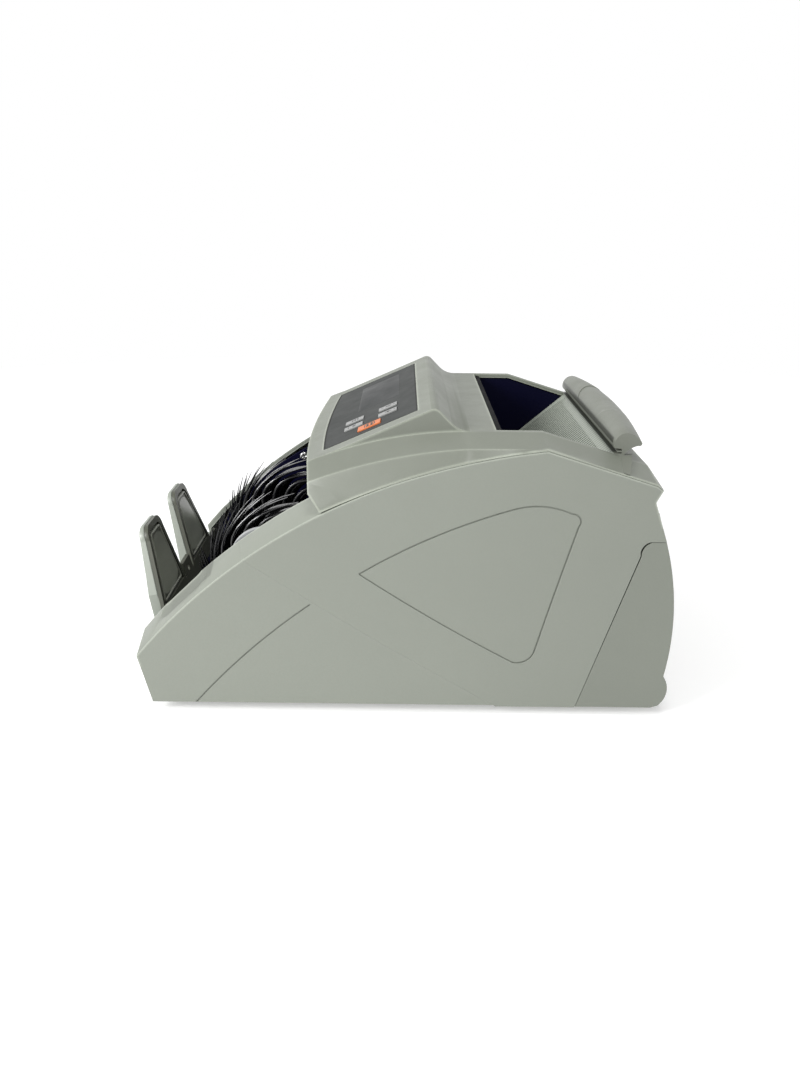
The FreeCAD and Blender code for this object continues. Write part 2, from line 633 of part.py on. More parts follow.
def make_frames():
    """Steel side frames, which hold the bearings and the motors, and their tie rods."""
    for side, name in ((1, "right_frame"), (-1, "left_frame")):
        x0, x1 = sorted((side * FRAME_X, side * (FRAME_X + FRAME_THICK)))
        plate = prism(x0, x1, (-124.0, 8.0), (-124.0, 36.0), (-84.0, 80.0), (-20.0, 112.0), (20.0, 130.0),
                      (100.0, 134.0), (122.0, 122.0), (130.0, 90.0), (130.0, 8.0))
        for centre in (IMPELLER, TRANSPORT, PINCH, FEED, PICKUP):
            plate = plate.cut(rod(x0 - 1, x1 + 1, centre, 8.05))
        motor = FEED_MOTOR if side > 0 else DRIVE_MOTOR
        plate = plate.cut(rod(x0 - 1, x1 + 1, motor, 6.2))
        for centre in ROD_PLACES:
            plate = plate.cut(rod(x0 - 1, x1 + 1, centre, 2.1))
        add(name, plate)
    rods = []
    for centre in ROD_PLACES:
        bar = rod(-FRAME_X, FRAME_X, centre, 4.0)
        rods.append(fuse([bar, rod(-FRAME_X - 5, FRAME_X + 5, centre, 2.0)]))
    add("tie_rods", Part.makeCompound(rods))


def hexagon(x0, x1, centre, flat):
    corner = flat / math.cos(math.pi / 6)
    points = [(centre[0] + corner * math.cos(k * math.pi / 3), centre[1] + corner * math.sin(k * math.pi / 3))
              for k in range(6)]
    return prism(x0, x1, *points)


def make_bearings():
    bearings = []
    for centre in (IMPELLER, TRANSPORT, PINCH, FEED, PICKUP):
        for side in (-1, 1):
            x0, x1 = sorted((side * (FRAME_X - 1.5), side * (FRAME_X + FRAME_THICK + 0.5)))
            body = ring(x0, x1, centre, 8.0, SHAFT_R + RUN_CLEAR)
            bearings.append(body)
    add("shaft_bearings", Part.makeCompound(bearings))


# ----------------------------------------------------------------------------
# Hopper
# ----------------------------------------------------------------------------
def make_feed_plate():
    """Sloping plate with fine ribs up its slope and windows for the pickup rollers."""
    half = HOPPER_HALF - 0.3
    count = int(2 * RIB_SPAN / RIB_PITCH)
    first = -RIB_PITCH * (count - 1) / 2
    plate = box(-half, half, 0, PLATE_LENGTH, -PLATE_THICK, 0)
    ribs = [box(first + k * RIB_PITCH - RIB_WIDTH / 2, first + k * RIB_PITCH + RIB_WIDTH / 2,
                3, PLATE_LENGTH - 1.5, -0.4, RIB_HEIGHT) for k in range(count)]
    plate = plate.multiFuse(ribs)
    for x in PICKUP_RINGS:
        plate = plate.cut(box(x - 9, x + 9, 43.0 - 9.5, 43.0 + 9.5, -10, 5))
    for x in FEED_RINGS:
        plate = plate.cut(box(x - 10.5, x + 10.5, -1, 13, -10, 5))
    lip = prism(-half, half, (0, 0), (4.0, 0), (4.0, -2.6), (0, -2.6))
    lip.translate(V(0, PLATE_LENGTH, 0))
    add("feed_plate", on_plate(biggest(plate.fuse(lip).removeSplitter()), 0))


PICKUP_RINGS = (-38.0, 38.0)
FEED_RINGS = (-48.0, -16.0, 16.0, 48.0)
TRANSPORT_RINGS = (-76.0, -20.0, 20.0, 76.0)


def make_hopper_gate():
    """Front wall of the hopper with a dark top strip, and the rubber stops under it."""
    y0 = HOPPER_FRONT + 0.3
    gate = prism(-95.8, 95.8, (y0, 161.4), (y0 + 3.4, 161.4), (y0 + 3.4, 157.0), (y0 + 2.4, 156.0),
                 (y0 + 2.4, 112.0), ((y0 + 1.0, 106.0), (y0 - 2.0, 102.0)), (y0 - 2.0, 104.8),
                 ((y0 - 0.8, 107.8), (y0, 112.0)))
    add("hopper_gate", gate)
    pads = []
    for x in (-32.0, 0.0, 32.0):
        pads.append(box(x - 6, x + 6, y0 - 8.5, y0 - 2.5, 100.6, 108.0))
    add("gate_pads", Part.makeCompound(pads))


def handle_bar(sink):
    """Arched rail with a rib in a groove along its front, and its top lowered by sink."""
    sections = []
    for k in range(-6, 7):
        share = 1.0 - (k / 6.0) ** 2
        back, lift = HANDLE_ARCH[0] * share, HANDLE_ARCH[1] * share
        sections.append(closed_wire(
            HANDLE_HALF * k / 6.0,
            (122.8, 149.4), (122.8, 150.3), (127.0, 150.5), (127.0, 151.3), (124.4, 151.4), (124.4, 152.0),
            (127.0, 152.1), (127.0, 153.1), (122.7, 153.5),
            ((124.0 + 0.4 * back, 159.6 + 0.8 * lift - sink), (129.6 + back, 162.2 + lift - sink)),
            ((134.6 + back, 160.3 + lift - sink), (138.0 + back, 156.6 + lift)),
            ((137.8 + back, 155.5 + lift), (136.2 + back, 155.0 + lift)),
            ((131.4 + 0.5 * back, 153.0 + 0.6 * lift), (127.8, 148.6))))
    return Part.makeLoft(sections, True, True)


def make_handle():
    """Carry handle across the rear of the hopper, with a thumb recess along its top. Its feet
    run down the shoulders to the seam."""
    thumb = fuse([box(-THUMB_HALF, THUMB_HALF, 123.0, 145.0, 150, 175)]
                 + [post((side * THUMB_HALF, 134.0), 150, 175, 11.0) for side in (-1, 1)])
    bar = handle_bar(0).cut(thumb).fuse(handle_bar(0.5).common(thumb))
    outline = [V(94.0, 122.8, 130), V(94.0, 133.6, 130), V(103.0, 131.6, 130), V(121.2, 127.2, 130),
               V(121.2, 119.0, 130), V(115.0, 116.4, 130)]
    footprint = Part.Face(Part.makePolygon(outline + outline[:1])).extrude(V(0, 0, 40))
    slope = [V(x, 110, z) for x, z in
             ((90.0, 130), (90.0, 149.6), (98.0, 149.6), (122.5, 144.9), (122.5, 130))]
    wedge = Part.Face(Part.makePolygon(slope + slope[:1])).extrude(V(0, 30, 0))
    foot = footprint.common(wedge).cut(seam_floor())
    handle = fuse([bar, foot, mirrored(foot)])
    add("carry_handle", biggest(handle.cut(roof_block(-0.02, 80))))


def seam_floor():
    """Everything below the covers' seam, a seam's width up."""
    rise = REVEAL + SEAM
    return prism(-130, 130, (APEX[0], APEX[1] + rise), (REAR_SHOULDER[0], REAR_SHOULDER[1] + rise),
                 (REAR_SHOULDER[0], 100), (APEX[0], 100))


# ----------------------------------------------------------------------------
# Display and keys
# ----------------------------------------------------------------------------
def make_display():
    overlay = Part.Face(overlay_wire(0, 0)).extrude(V(0, 0, OVERLAY_THICK))
    overlay = on_panel(overlay, 0, 0, -OVERLAY_THICK)
    for x, s, width, length in all_keys().values():
        overlay = overlay.cut(key_rect(x, s, width + 0.5, length + 0.5, -8, 4))
    add("display_overlay", overlay)
    add("display_module", fuse([key_rect(DISPLAY_X, 40, 80, 26, -5.6, -1.9),
                                key_rect(DISPLAY_X, 40, 96, 40, -9.0, -5.6)]))
    board = key_rect(54, 35, 62, 52, -9.0, -7.4)
    switches = []
    for x, s, width, length in all_keys().values():
        switches.append(key_rect(x, s, 6, 6, -7.4, -5.0))
    add("key_board", fuse([board] + switches))
    for name, (x, s, width, length) in all_keys().items():
        cap = key_rect(x, s, width, length, -3.4, 0.7)
        flange = key_rect(x, s, width + 2.2, length + 2.2, -3.4, -2.3)
        stem = key_rect(x, s, 3, 3, -4.0, -3.4)
        add(name, fuse([cap, flange, stem]))


# ----------------------------------------------------------------------------
# Note path
# ----------------------------------------------------------------------------
def make_note_guides():
    """Two curved plates that lead a note from the feed drum to the impellers."""
    half = 95.8
    upper = prism(-half, half, (44.0, 100.0), ((18.0, 91.6), (-3.0, 90.9)), (-3.0, 102.0), (-32.0, 102.0),
                  (-38.0, 119.0), (-36.4, 119.6), (-31.0, 103.6), (-1.4, 103.6), (-1.4, 92.5),
                  ((18.0, 93.4), (44.0, 102.0)))
    for x in TRANSPORT_RINGS:
        upper = upper.cut(box(x - 8, x + 8, -22, 2, 80, 103.7))
    add("upper_note_guide", upper)
    lower = prism(-half, half, (47.0, 86.0), ((14.0, 83.0), (8.5, 83.0)), (-24.0, 82.0), (-24.0, 80.0),
                  (8.5, 81.0), ((14.0, 81.0), (47.0, 84.0)))
    for x in TRANSPORT_RINGS:
        lower = lower.cut(box(x - 8, x + 8, -26, 10, 70, 95))
    for x in (-WHEEL_X, WHEEL_X):
        lower = lower.cut(box(x - 14, x + 14, -40, -18, 70, 95))
    add("lower_note_guide", biggest(lower))
    sensors = [box(x - 5, x + 5, 20, 30, 98.0, 103.0) for x in (-60, 0, 60)]
    bridge = box(-80, 80, 18, 32, 103.0, 104.6)
    fork = fuse([box(105.5, 107.4, 4.0, 12.0, 66.0, 74.0), box(109.8, 111.6, 4.0, 12.0, 66.0, 74.0),
                 box(105.5, 111.6, 8.5, 14.0, 64.0, 76.0)])
    add("sensors", Part.makeCompound([fuse([bridge] + sensors), fork]))


def blade(k, x0, x1):
    """One finger of an impeller: it leaves the hub and curls back to a tangential tip."""
    def at(radius, angle):
        return V(radius * math.cos(angle), radius * math.sin(angle), 0)
    circle = Part.Circle(*[at(*p) for p in BLADE_POINTS])
    middle = circle.Center
    start, end = [math.atan2((p - middle).y, (p - middle).x)
                  for p in (at(*BLADE_POINTS[0]), at(*BLADE_POINTS[2]))]
    def on(radius, share):
        angle = start + (end - start) * share
        y, z = middle.x + radius * math.cos(angle), middle.y + radius * math.sin(angle)
        return (IMPELLER[0] + y, IMPELLER[1] + z)
    inner, outer = circle.Radius - BLADE_THICK / 2, circle.Radius + BLADE_THICK / 2
    face = Part.Face(closed_wire(
        x0,
        on(inner, 0), (on(inner, 0.5), on(inner, 1)), on(outer, 1), (on(outer, 0.5), on(outer, 0))))
    finger = face.extrude(V(x1 - x0, 0, 0))
    finger.rotate(V(0, IMPELLER[0], IMPELLER[1]), V(1, 0, 0), 360.0 * k / BLADES)
    return finger


def make_impellers():
    """Each wheel has two rows of fingers, half a pitch apart."""
    hub = rod(-WHEEL_WIDTH / 2 - 3, WHEEL_WIDTH / 2 + 3, IMPELLER, 12.5)
    half, gap = WHEEL_WIDTH / 2, 0.5
    fingers = [blade(k, -half, -gap) for k in range(BLADES)]
    fingers += [blade(k + 0.5, gap, half) for k in range(BLADES)]
    wheel = hub.multiFuse(fingers).cut(rod(-20, 20, IMPELLER, SHAFT_R))
    for side, name in ((1, "right_impeller"), (-1, "left_impeller")):
        moved = wheel.copy()
        moved.translate(V(side * WHEEL_X, 0, 0))
        add(name, moved)


def pulley(x0, x1, centre, radius, teeth):
    """Toothed belt pulley with two flanges, bored for its shaft."""
    flange = 0.6
    parts = [rod(x0, x1, centre, radius), rod(x0, x0 + flange, centre, radius + 1.4),
             rod(x1 - flange, x1, centre, radius + 1.4)]
    body = fuse(parts)
    gaps = []
    for k in range(teeth):
        a = 2 * math.pi * k / teeth
        middle = (centre[0] + radius * math.cos(a), centre[1] + radius * math.sin(a))
        gaps.append(rod(x0 + flange, x1 - flange, middle, 0.55))
    return body.cut(Part.makeCompound(gaps)).cut(rod(x0 - 1, x1 + 1, centre, SHAFT_R))


def belt(x0, x1, a, ra, b, rb):
    """Closed loop around two pulleys: its inside clears them by a running gap."""
    inner_gap, thick = 0.15, 1.1
    def around(ra_, rb_, grow):
        dx, dz = b[0] - a[0], b[1] - a[1]
        distance = math.hypot(dx, dz)
        base = math.atan2(dz, dx)
        spread = math.acos((ra_ - rb_) / distance)
        p = [(c[0] + (r + grow) * math.cos(base + s * spread),
              c[1] + (r + grow) * math.sin(base + s * spread))
             for c, r, s in ((a, ra_, 1), (b, rb_, 1), (b, rb_, -1), (a, ra_, -1))]
        far_b = (b[0] + (rb_ + grow) * math.cos(base), b[1] + (rb_ + grow) * math.sin(base))
        far_a = (a[0] - (ra_ + grow) * math.cos(base), a[1] - (ra_ + grow) * math.sin(base))
        return prism(x0, x1, p[0], p[1], (far_b, p[2]), p[3], (far_a, p[0]))
    return around(ra, rb, inner_gap + thick).cut(around(ra, rb, inner_gap))


IMPELLER_PULLEY_R = 15.0
TRANSPORT_PULLEY_R = 9.0
DRIVE_PULLEY_R = 7.0
FEED_PULLEY_R = 12.0
PICKUP_PULLEY_R = 8.0
FEED_MOTOR_PULLEY_R = 7.0
INNER_BELT = (106.5, 111.0)     # X range of the inner belts' pulleys
OUTER_BELT = (112.0, 116.5)     # and of the outer ones


def make_shafts():
    end = 117.5
    reach = FRAME_X + FRAME_THICK + 1.5
    add("impeller_shaft", rod(-end, reach, IMPELLER, SHAFT_R))
    add("impeller_pulley", pulley(-OUTER_BELT[1], -OUTER_BELT[0], IMPELLER, IMPELLER_PULLEY_R, 30))
    add("transport_shaft", rod(-end, 112, TRANSPORT, SHAFT_R))
    rings = [ring(x - 6, x + 6, TRANSPORT, TRANSPORT_R, SHAFT_R) for x in TRANSPORT_RINGS]
    add("transport_rollers", Part.makeCompound(rings))
    pulleys = [pulley(-OUTER_BELT[1], -OUTER_BELT[0], TRANSPORT, TRANSPORT_PULLEY_R, 18),
               pulley(-INNER_BELT[1], -INNER_BELT[0], TRANSPORT, TRANSPORT_PULLEY_R, 18)]
    add("transport_pulleys", Part.makeCompound(pulleys))
    disc = ring(108, 109.2, TRANSPORT, 15.0, SHAFT_R)
    slots = []
    for k in range(24):
        a = 2 * math.pi * k / 24
        slot = box(107, 111, 11.0, 13.8, -0.6, 0.6)
        slot.rotate(V(0, 0, 0), V(1, 0, 0), math.degrees(a))
        slot.translate(V(0, TRANSPORT[0], TRANSPORT[1]))
        slots.append(slot)
    add("encoder_disc", disc.cut(Part.makeCompound(slots)))
    add("pinch_shaft", rod(-reach, reach, PINCH, SHAFT_R))
    rollers = [ring(x - 6, x + 6, PINCH, PINCH_R, SHAFT_R) for x in TRANSPORT_RINGS]
    add("pinch_rollers", Part.makeCompound(rollers))
    add("feed_shaft", rod(-reach, end, FEED, SHAFT_R))
    add("feed_rollers", Part.makeCompound([ring(x - 9, x + 9, FEED, FEED_R, SHAFT_R) for x in FEED_RINGS]))
    pulleys = [pulley(OUTER_BELT[0], OUTER_BELT[1], FEED, FEED_PULLEY_R, 24),
               pulley(INNER_BELT[0], INNER_BELT[1], FEED, FEED_PULLEY_R, 24)]
    add("feed_pulleys", Part.makeCompound(pulleys))
    add("pickup_shaft", rod(-reach, end, PICKUP, SHAFT_R))
    add("pickup_rollers", Part.makeCompound([ring(x - 8, x + 8, PICKUP, PICKUP_R, SHAFT_R)
                                             for x in PICKUP_RINGS]))
    add("pickup_pulley", pulley(OUTER_BELT[0], OUTER_BELT[1], PICKUP, PICKUP_PULLEY_R, 16))


def make_drives():
    """Two motors, their pulleys, and the four belts."""
    inside = FRAME_X - 0.1
    for side, centre, name in ((1, FEED_MOTOR, "feed_motor"), (-1, DRIVE_MOTOR, "drive_motor")):
        x0, x1 = sorted((side * inside, side * (inside - 52)))
        boss = sorted((side * inside, side * (inside + 2.2)))
        body = fuse([rod(x0, x1, centre, MOTOR_R), rod(boss[0], boss[1], centre, 6.0)])
        bore = sorted((side * (inside - 10.5), side * (inside + 4)))
        add(name, body.cut(rod(bore[0], bore[1], centre, 2.05)))
        shaft = sorted((side * (inside - 10), side * 111.4))
        belt_x = sorted((side * INNER_BELT[0], side * INNER_BELT[1]))
        radius = FEED_MOTOR_PULLEY_R if side > 0 else DRIVE_PULLEY_R
        wheel = pulley(belt_x[0], belt_x[1], centre, radius, 14)
        spindle = rod(shaft[0], shaft[1], centre, 2.0)
        collar = ring(belt_x[0], belt_x[1], centre, SHAFT_R, 2.0)
        add(name.replace("_motor", "_motor_pulley"), fuse([wheel, collar, spindle]))
    inner = (INNER_BELT[0] + 0.8, INNER_BELT[1] - 0.8)
    outer = (OUTER_BELT[0] + 0.8, OUTER_BELT[1] - 0.8)
    add("timing_belts", Part.makeCompound([
        belt(-inner[1], -inner[0], DRIVE_MOTOR, DRIVE_PULLEY_R, TRANSPORT, TRANSPORT_PULLEY_R),
        belt(-outer[1], -outer[0], TRANSPORT, TRANSPORT_PULLEY_R, IMPELLER, IMPELLER_PULLEY_R),
        belt(inner[0], inner[1], FEED_MOTOR, FEED_MOTOR_PULLEY_R, FEED, FEED_PULLEY_R),
        belt(outer[0], outer[1], FEED, FEED_PULLEY_R, PICKUP, PICKUP_PULLEY_R),
    ]))


# ----------------------------------------------------------------------------
# Electrical parts, knob, switch and screws
# ----------------------------------------------------------------------------
def make_electrics():
    add("main_board", fuse([box(-30, 60, 60, 112, 9.0, 10.6), box(-10, 14, 70, 90, 10.6, 13.6),
                            box(30, 50, 66, 74, 10.6, 18.0), box(30, 50, 80, 96, 10.6, 16.0),
                            post((-20, 68), FLOOR_TOP, 9.0, 3), post((52, 104), FLOOR_TOP, 9.0, 3)]))
    coil = fuse([box(-88, -40, 82, 122, 6.6, 16), box(-82, -46, 88, 116, 16, 46),
                 box(-88, -40, 92, 112, 12, 50)])
    add("transformer", coil)


ROCKER_AXIS = (151.7, 40.0)


def make_rear_fittings():
    """Mains inlet, fuse holder, and the power switch with its rocker."""
    face = REAR_PAD + 0.05
    outside = REAR_END
    flange = box(46, 74, 140.0, outside, 29, 50)
    plate = box(42, 78, face, outside, 25, 54)
    inlet = fuse([flange, plate]).cut(box(49, 71, 144, 175, 32, 47))
    pins = [box(x - 1, x + 1, 143.0, 157.0, z - 2, z + 2) for x, z in ((54, 38), (66, 38), (60, 42))]
    add("mains_inlet", fuse([inlet] + pins))
    housing = box(15, 33, 140, outside, 30.6, 49.4)
    bezel = box(12.5, 35.5, face, outside, 28.5, 51.5)
    room = box(17, 31, 147.7, 175, 32.6, 47.4)
    pivot = rod(16.0, 32.0, ROCKER_AXIS, 1.55)
    add("switch_housing", fuse([housing, bezel]).cut(room).cut(pivot))
    tilt = 9.0
    rocker = prism(17.6, 30.4, (151.7, 34.5), (158.3, 33.8), ((157.1, 40.0), (158.3, 46.2)), (151.7, 45.5),
                   (150.2, 40.0))
    rocker = rocker.fuse(rod(16.2, 31.8, ROCKER_AXIS, 1.5)).removeSplitter()
    rocker.rotate(V(0, ROCKER_AXIS[0], ROCKER_AXIS[1]), V(1, 0, 0), tilt)
    add("power_rocker", rocker)
    cap = fuse([Part.makeCylinder(5.8, 20, V(0, 140, 40), V(0, 1, 0)),
                Part.makeCylinder(7.6, outside - face, V(0, face, 40), V(0, 1, 0))])
    cap = cap.common(box(-20, 20, 130, outside, 20, 60))
    slot = box(-5, 5, outside - 0.6, outside + 5, 39.2, 40.8)
    add("fuse_holder", cap.cut(slot))


def make_gap_knob():
    """Thumb screw on the rear deck that sets the feed gap."""
    centre = (0.0, 142.5)
    stem = post(centre, 124.0, 146.5, SHAFT_R - 1)
    grip = post(centre, 146.4, 151.6, 7.0)
    angles = [k * math.pi / 9 for k in range(18)]
    notches = [post((centre[0] + 7.4 * math.cos(a), centre[1] + 7.4 * math.sin(a)), 145, 153, 0.9)
               for a in angles]
    knob = fuse([stem, grip]).cut(Part.makeCompound(notches))
    add("gap_knob", knob)


def make_fasteners():
    """Screws of the liners, seen inside the cheeks, and the nuts of the tie rods."""
    screws = []
    for centre in ROD_PLACES:
        for side in (-1, 1):
            x0, x1 = sorted((side * (FRAME_X + FRAME_THICK + 0.05), side * (FRAME_X + FRAME_THICK + 2.8)))
            screws.append(hexagon(x0, x1, centre, 3.5).cut(rod(x0 - 1, x1 + 1, centre, 2.05)))
    places = [(side, y, z) for side in (-1, 1) for y, z in ((-96.0, 70.0), (-100.0, 40.0))]
    for side, y, z in places + [(-1, -70.0, 99.5)]:
        screws.append(Part.makeCylinder(2.6, 1.4, V(side * (LINER_X - 0.05), y, z), V(-side, 0, 0)))
    add("fasteners", Part.makeCompound(screws))


make_base()
make_side_covers()
make_top_cover()
make_rear_cover()
make_front_stopper()
make_stacker_tray()
make_liners()
make_frames()
make_bearings()
make_feed_plate()
make_hopper_gate()
make_handle()
make_display()
make_note_guides()
make_impellers()
make_shafts()
make_drives()
make_electrics()
make_rear_fittings()
make_gap_knob()
make_fasteners()

os.makedirs("parts", exist_ok=True)
for name, shape in shapes.items():
    shape.exportStep("parts/" + name + ".step")
    print(name, len(shape.Solids), "solid(s)", round(shape.Volume), "mm3", shape.isValid())
print(len(shapes), "nodes")
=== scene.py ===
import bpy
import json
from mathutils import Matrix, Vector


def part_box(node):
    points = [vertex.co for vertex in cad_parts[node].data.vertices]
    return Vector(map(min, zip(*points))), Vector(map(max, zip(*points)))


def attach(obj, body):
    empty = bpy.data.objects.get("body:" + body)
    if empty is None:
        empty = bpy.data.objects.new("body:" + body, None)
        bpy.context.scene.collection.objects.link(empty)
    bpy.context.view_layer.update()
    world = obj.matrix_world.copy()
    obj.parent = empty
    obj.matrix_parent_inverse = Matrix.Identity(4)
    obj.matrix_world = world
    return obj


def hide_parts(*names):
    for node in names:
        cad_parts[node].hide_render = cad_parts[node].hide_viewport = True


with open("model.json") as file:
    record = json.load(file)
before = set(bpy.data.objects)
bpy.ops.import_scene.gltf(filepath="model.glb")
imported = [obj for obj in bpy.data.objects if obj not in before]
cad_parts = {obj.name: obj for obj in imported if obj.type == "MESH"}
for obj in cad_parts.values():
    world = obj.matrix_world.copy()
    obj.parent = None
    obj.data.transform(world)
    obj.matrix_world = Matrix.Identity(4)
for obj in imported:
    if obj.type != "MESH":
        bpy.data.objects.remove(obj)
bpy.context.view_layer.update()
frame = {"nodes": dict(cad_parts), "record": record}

import json
import math
import random

import bmesh
import bpy
from mathutils import Matrix, Vector

# Materials work in metres, and the building of meshes in millimetres.
NODES = frame["nodes"]
SLOTS = {s["node"]: s["material_slot"] for s in frame["record"]["subparts"]}


# ---------------------------------------------------------------- materials
def srgb(r, g, b):
    """Linear colour from 0-255 values."""
    return tuple((c / 255 / 12.92) if c / 255 <= 0.04045 else ((c / 255 + 0.055) / 1.055) ** 2.4
                 for c in (r, g, b)) + (1.0,)


class Graph:
    """Small helper that adds and links shader nodes."""

    def __init__(self, name):
        self.mat = bpy.data.materials.new(name)
        self.mat.use_nodes = True
        self.tree = self.mat.node_tree
        self.bsdf = self.tree.nodes["Principled BSDF"]
        self.coords = self.add("ShaderNodeTexCoord").outputs["Object"]

    def add(self, kind, operation=None, data_type=None, **inputs):
        node = self.tree.nodes.new(kind)
        if operation:
            node.operation = operation
        if data_type:
            node.data_type = data_type
        for key, value in inputs.items():
            self.put(value, node.inputs[key])
        return node

    def put(self, value, socket):
        if isinstance(value, bpy.types.NodeSocket):
            self.tree.links.new(value, socket)
        else:
            socket.default_value = value

    def noise(self, scale, detail=2.0, rough=0.5):
        node = self.add("ShaderNodeTexNoise", Scale=scale, Detail=detail, Roughness=rough)
        self.put(self.coords, node.inputs["Vector"])
        return node.outputs["Fac"]

    def ramp(self, value, low, high, out_low, out_high):
        node = self.add("ShaderNodeMapRange")
        for key, v in (("Value", value), ("From Min", low), ("From Max", high),
                       ("To Min", out_low), ("To Max", out_high)):
            self.put(v, node.inputs[key])
        return node.outputs["Result"]

    def mix(self, factor, a, b):
        node = self.add("ShaderNodeMix", data_type="RGBA")
        self.put(factor, node.inputs[0])
        self.put(a, node.inputs[6])
        self.put(b, node.inputs[7])
        return node.outputs[2]

    def bump(self, height, distance, strength=1.0, below=None):
        node = self.add("ShaderNodeBump", Strength=strength, Distance=distance)
        self.put(height, node.inputs["Height"])
        if below is not None:
            self.put(below, node.inputs["Normal"])
        return node.outputs["Normal"]


def shade(colour, factor):
    return tuple(c * factor for c in colour[:3]) + (1.0,)


def moulded(name, colour, rough=0.5, grain=0.00003, coat=0.0, mottle=0.03, spec=0.5):
    """Moulded plastic with a fine grain, faint mottling and uneven gloss. grain is the grain's depth."""
    g = Graph(name)
    flow = g.noise(11.0, 3.0, 0.6)
    base = g.mix(g.ramp(flow, 0.3, 0.7, 0.0, 1.0), shade(colour, 1.0 - mottle), shade(colour, 1.0 + mottle))
    specks = g.noise(900.0, 2.0, 0.7)
    base = g.mix(g.ramp(specks, 0.35, 0.75, 0.0, 0.5), base, shade(colour, 0.93))
    g.put(base, g.bsdf.inputs["Base Color"])
    wear = g.noise(45.0, 6.0, 0.65)
    g.put(g.ramp(wear, 0.3, 0.75, rough - 0.05, rough + 0.08), g.bsdf.inputs["Roughness"])
    g.bsdf.inputs["Specular IOR Level"].default_value = spec
    g.bsdf.inputs["Coat Weight"].default_value = coat
    g.bsdf.inputs["Coat Roughness"].default_value = 0.12
    fine = g.bump(g.noise(2600.0, 2.0, 0.6), grain)
    g.put(g.bump(g.noise(14.0, 1.0, 0.5), 0.0006, 0.25, fine), g.bsdf.inputs["Normal"])
    return g.mat


def metal(name, colour, rough=0.35, brushed=True):
    g = Graph(name)
    g.bsdf.inputs["Metallic"].default_value = 1.0
    stretch = g.add("ShaderNodeMapping")
    g.put(g.coords, stretch.inputs["Vector"])
    stretch.inputs["Scale"].default_value = (40.0, 1800.0, 1800.0) if brushed else (500.0, 500.0, 500.0)
    lines = g.add("ShaderNodeTexNoise", Scale=1.0, Detail=3.0)
    g.put(stretch.outputs["Vector"], lines.inputs["Vector"])
    g.put(g.mix(g.ramp(lines.outputs["Fac"], 0.3, 0.7, 0.0, 1.0), shade(colour, 0.82), colour),
          g.bsdf.inputs["Base Color"])
    g.put(g.ramp(lines.outputs["Fac"], 0.3, 0.7, rough - 0.08, rough + 0.12), g.bsdf.inputs["Roughness"])
    g.put(g.bump(lines.outputs["Fac"], 0.00002), g.bsdf.inputs["Normal"])
    return g.mat


def rubbery(name, colour, rough=0.8):
    g = Graph(name)
    dust = g.noise(130.0, 5.0, 0.7)
    g.put(g.mix(g.ramp(dust, 0.45, 0.8, 0.0, 0.6), colour, shade(colour, 1.9)), g.bsdf.inputs["Base Color"])
    g.bsdf.inputs["Roughness"].default_value = rough
    g.put(g.bump(g.noise(1500.0, 3.0, 0.7), 0.00006), g.bsdf.inputs["Normal"])
    return g.mat


def reopen(mat):
    """The graph of a finished material, with its x, y and z coordinates in metres."""
    g = Graph.__new__(Graph)
    g.mat, g.tree, g.bsdf = mat, mat.node_tree, mat.node_tree.nodes["Principled BSDF"]
    g.coords = g.add("ShaderNodeTexCoord").outputs["Object"]
    split = g.add("ShaderNodeSeparateXYZ")
    g.put(g.coords, split.inputs[0])
    g.x, g.y, g.z = split.outputs
    return g


def calc(g, operation, *values):
    """One step of arithmetic on sockets or numbers."""
    node = g.add("ShaderNodeMath", operation=operation)
    for socket, value in zip(node.inputs, values):
        g.put(value, socket)
    return node.outputs[0]


def blend(g, mask, factor):
    """Where the mask is 1 the base colour is multiplied by the factor."""
    base = g.bsdf.inputs["Base Color"]
    scale = g.add("ShaderNodeVectorMath", operation="SCALE")
    g.put(base.links[0].from_socket, scale.inputs[0])
    amount = calc(g, "MULTIPLY_ADD", mask, factor - 1.0, 1.0)
    g.put(amount, scale.inputs["Scale"])
    g.put(scale.outputs[0], base)


def facing(g):
    """How far the surface faces sideways, from 0 to 1, and upwards, from -1 to 1."""
    geometry = g.add("ShaderNodeNewGeometry")
    split = g.add("ShaderNodeSeparateXYZ")
    g.put(geometry.outputs["True Normal"], split.inputs[0])
    return calc(g, "ABSOLUTE", split.outputs[0]), split.outputs[2]


def painted_flank_shade(mat):
    """Painted shade: the flanks of the top cover are a little darker than its deck."""
    g = reopen(mat)
    side, _ = facing(g)
    blend(g, g.ramp(side, 0.25, 0.5, 0.0, 1.0), 0.9)
    return mat


SCOOP_FRONT = (-0.138, -0.128)       # y over which the painted shade of the finger scoop begins
SCOOP_REAR = (-0.1042, -0.1034)      # and ends
SCOOP_OUTER = (0.1122, 0.1134)       # distance from the middle plane at which it stops
SIDE_REAR = (0.03, 0.15)             # y over which the sides get darker, as painted shade
CHEEK_PALE = (-0.09, -0.04)          # y over which the top of the cheeks gets paler, as painted light
CHEEK_DARK = (-0.145, -0.135)        # y up to which their front end stays darker, as painted shade
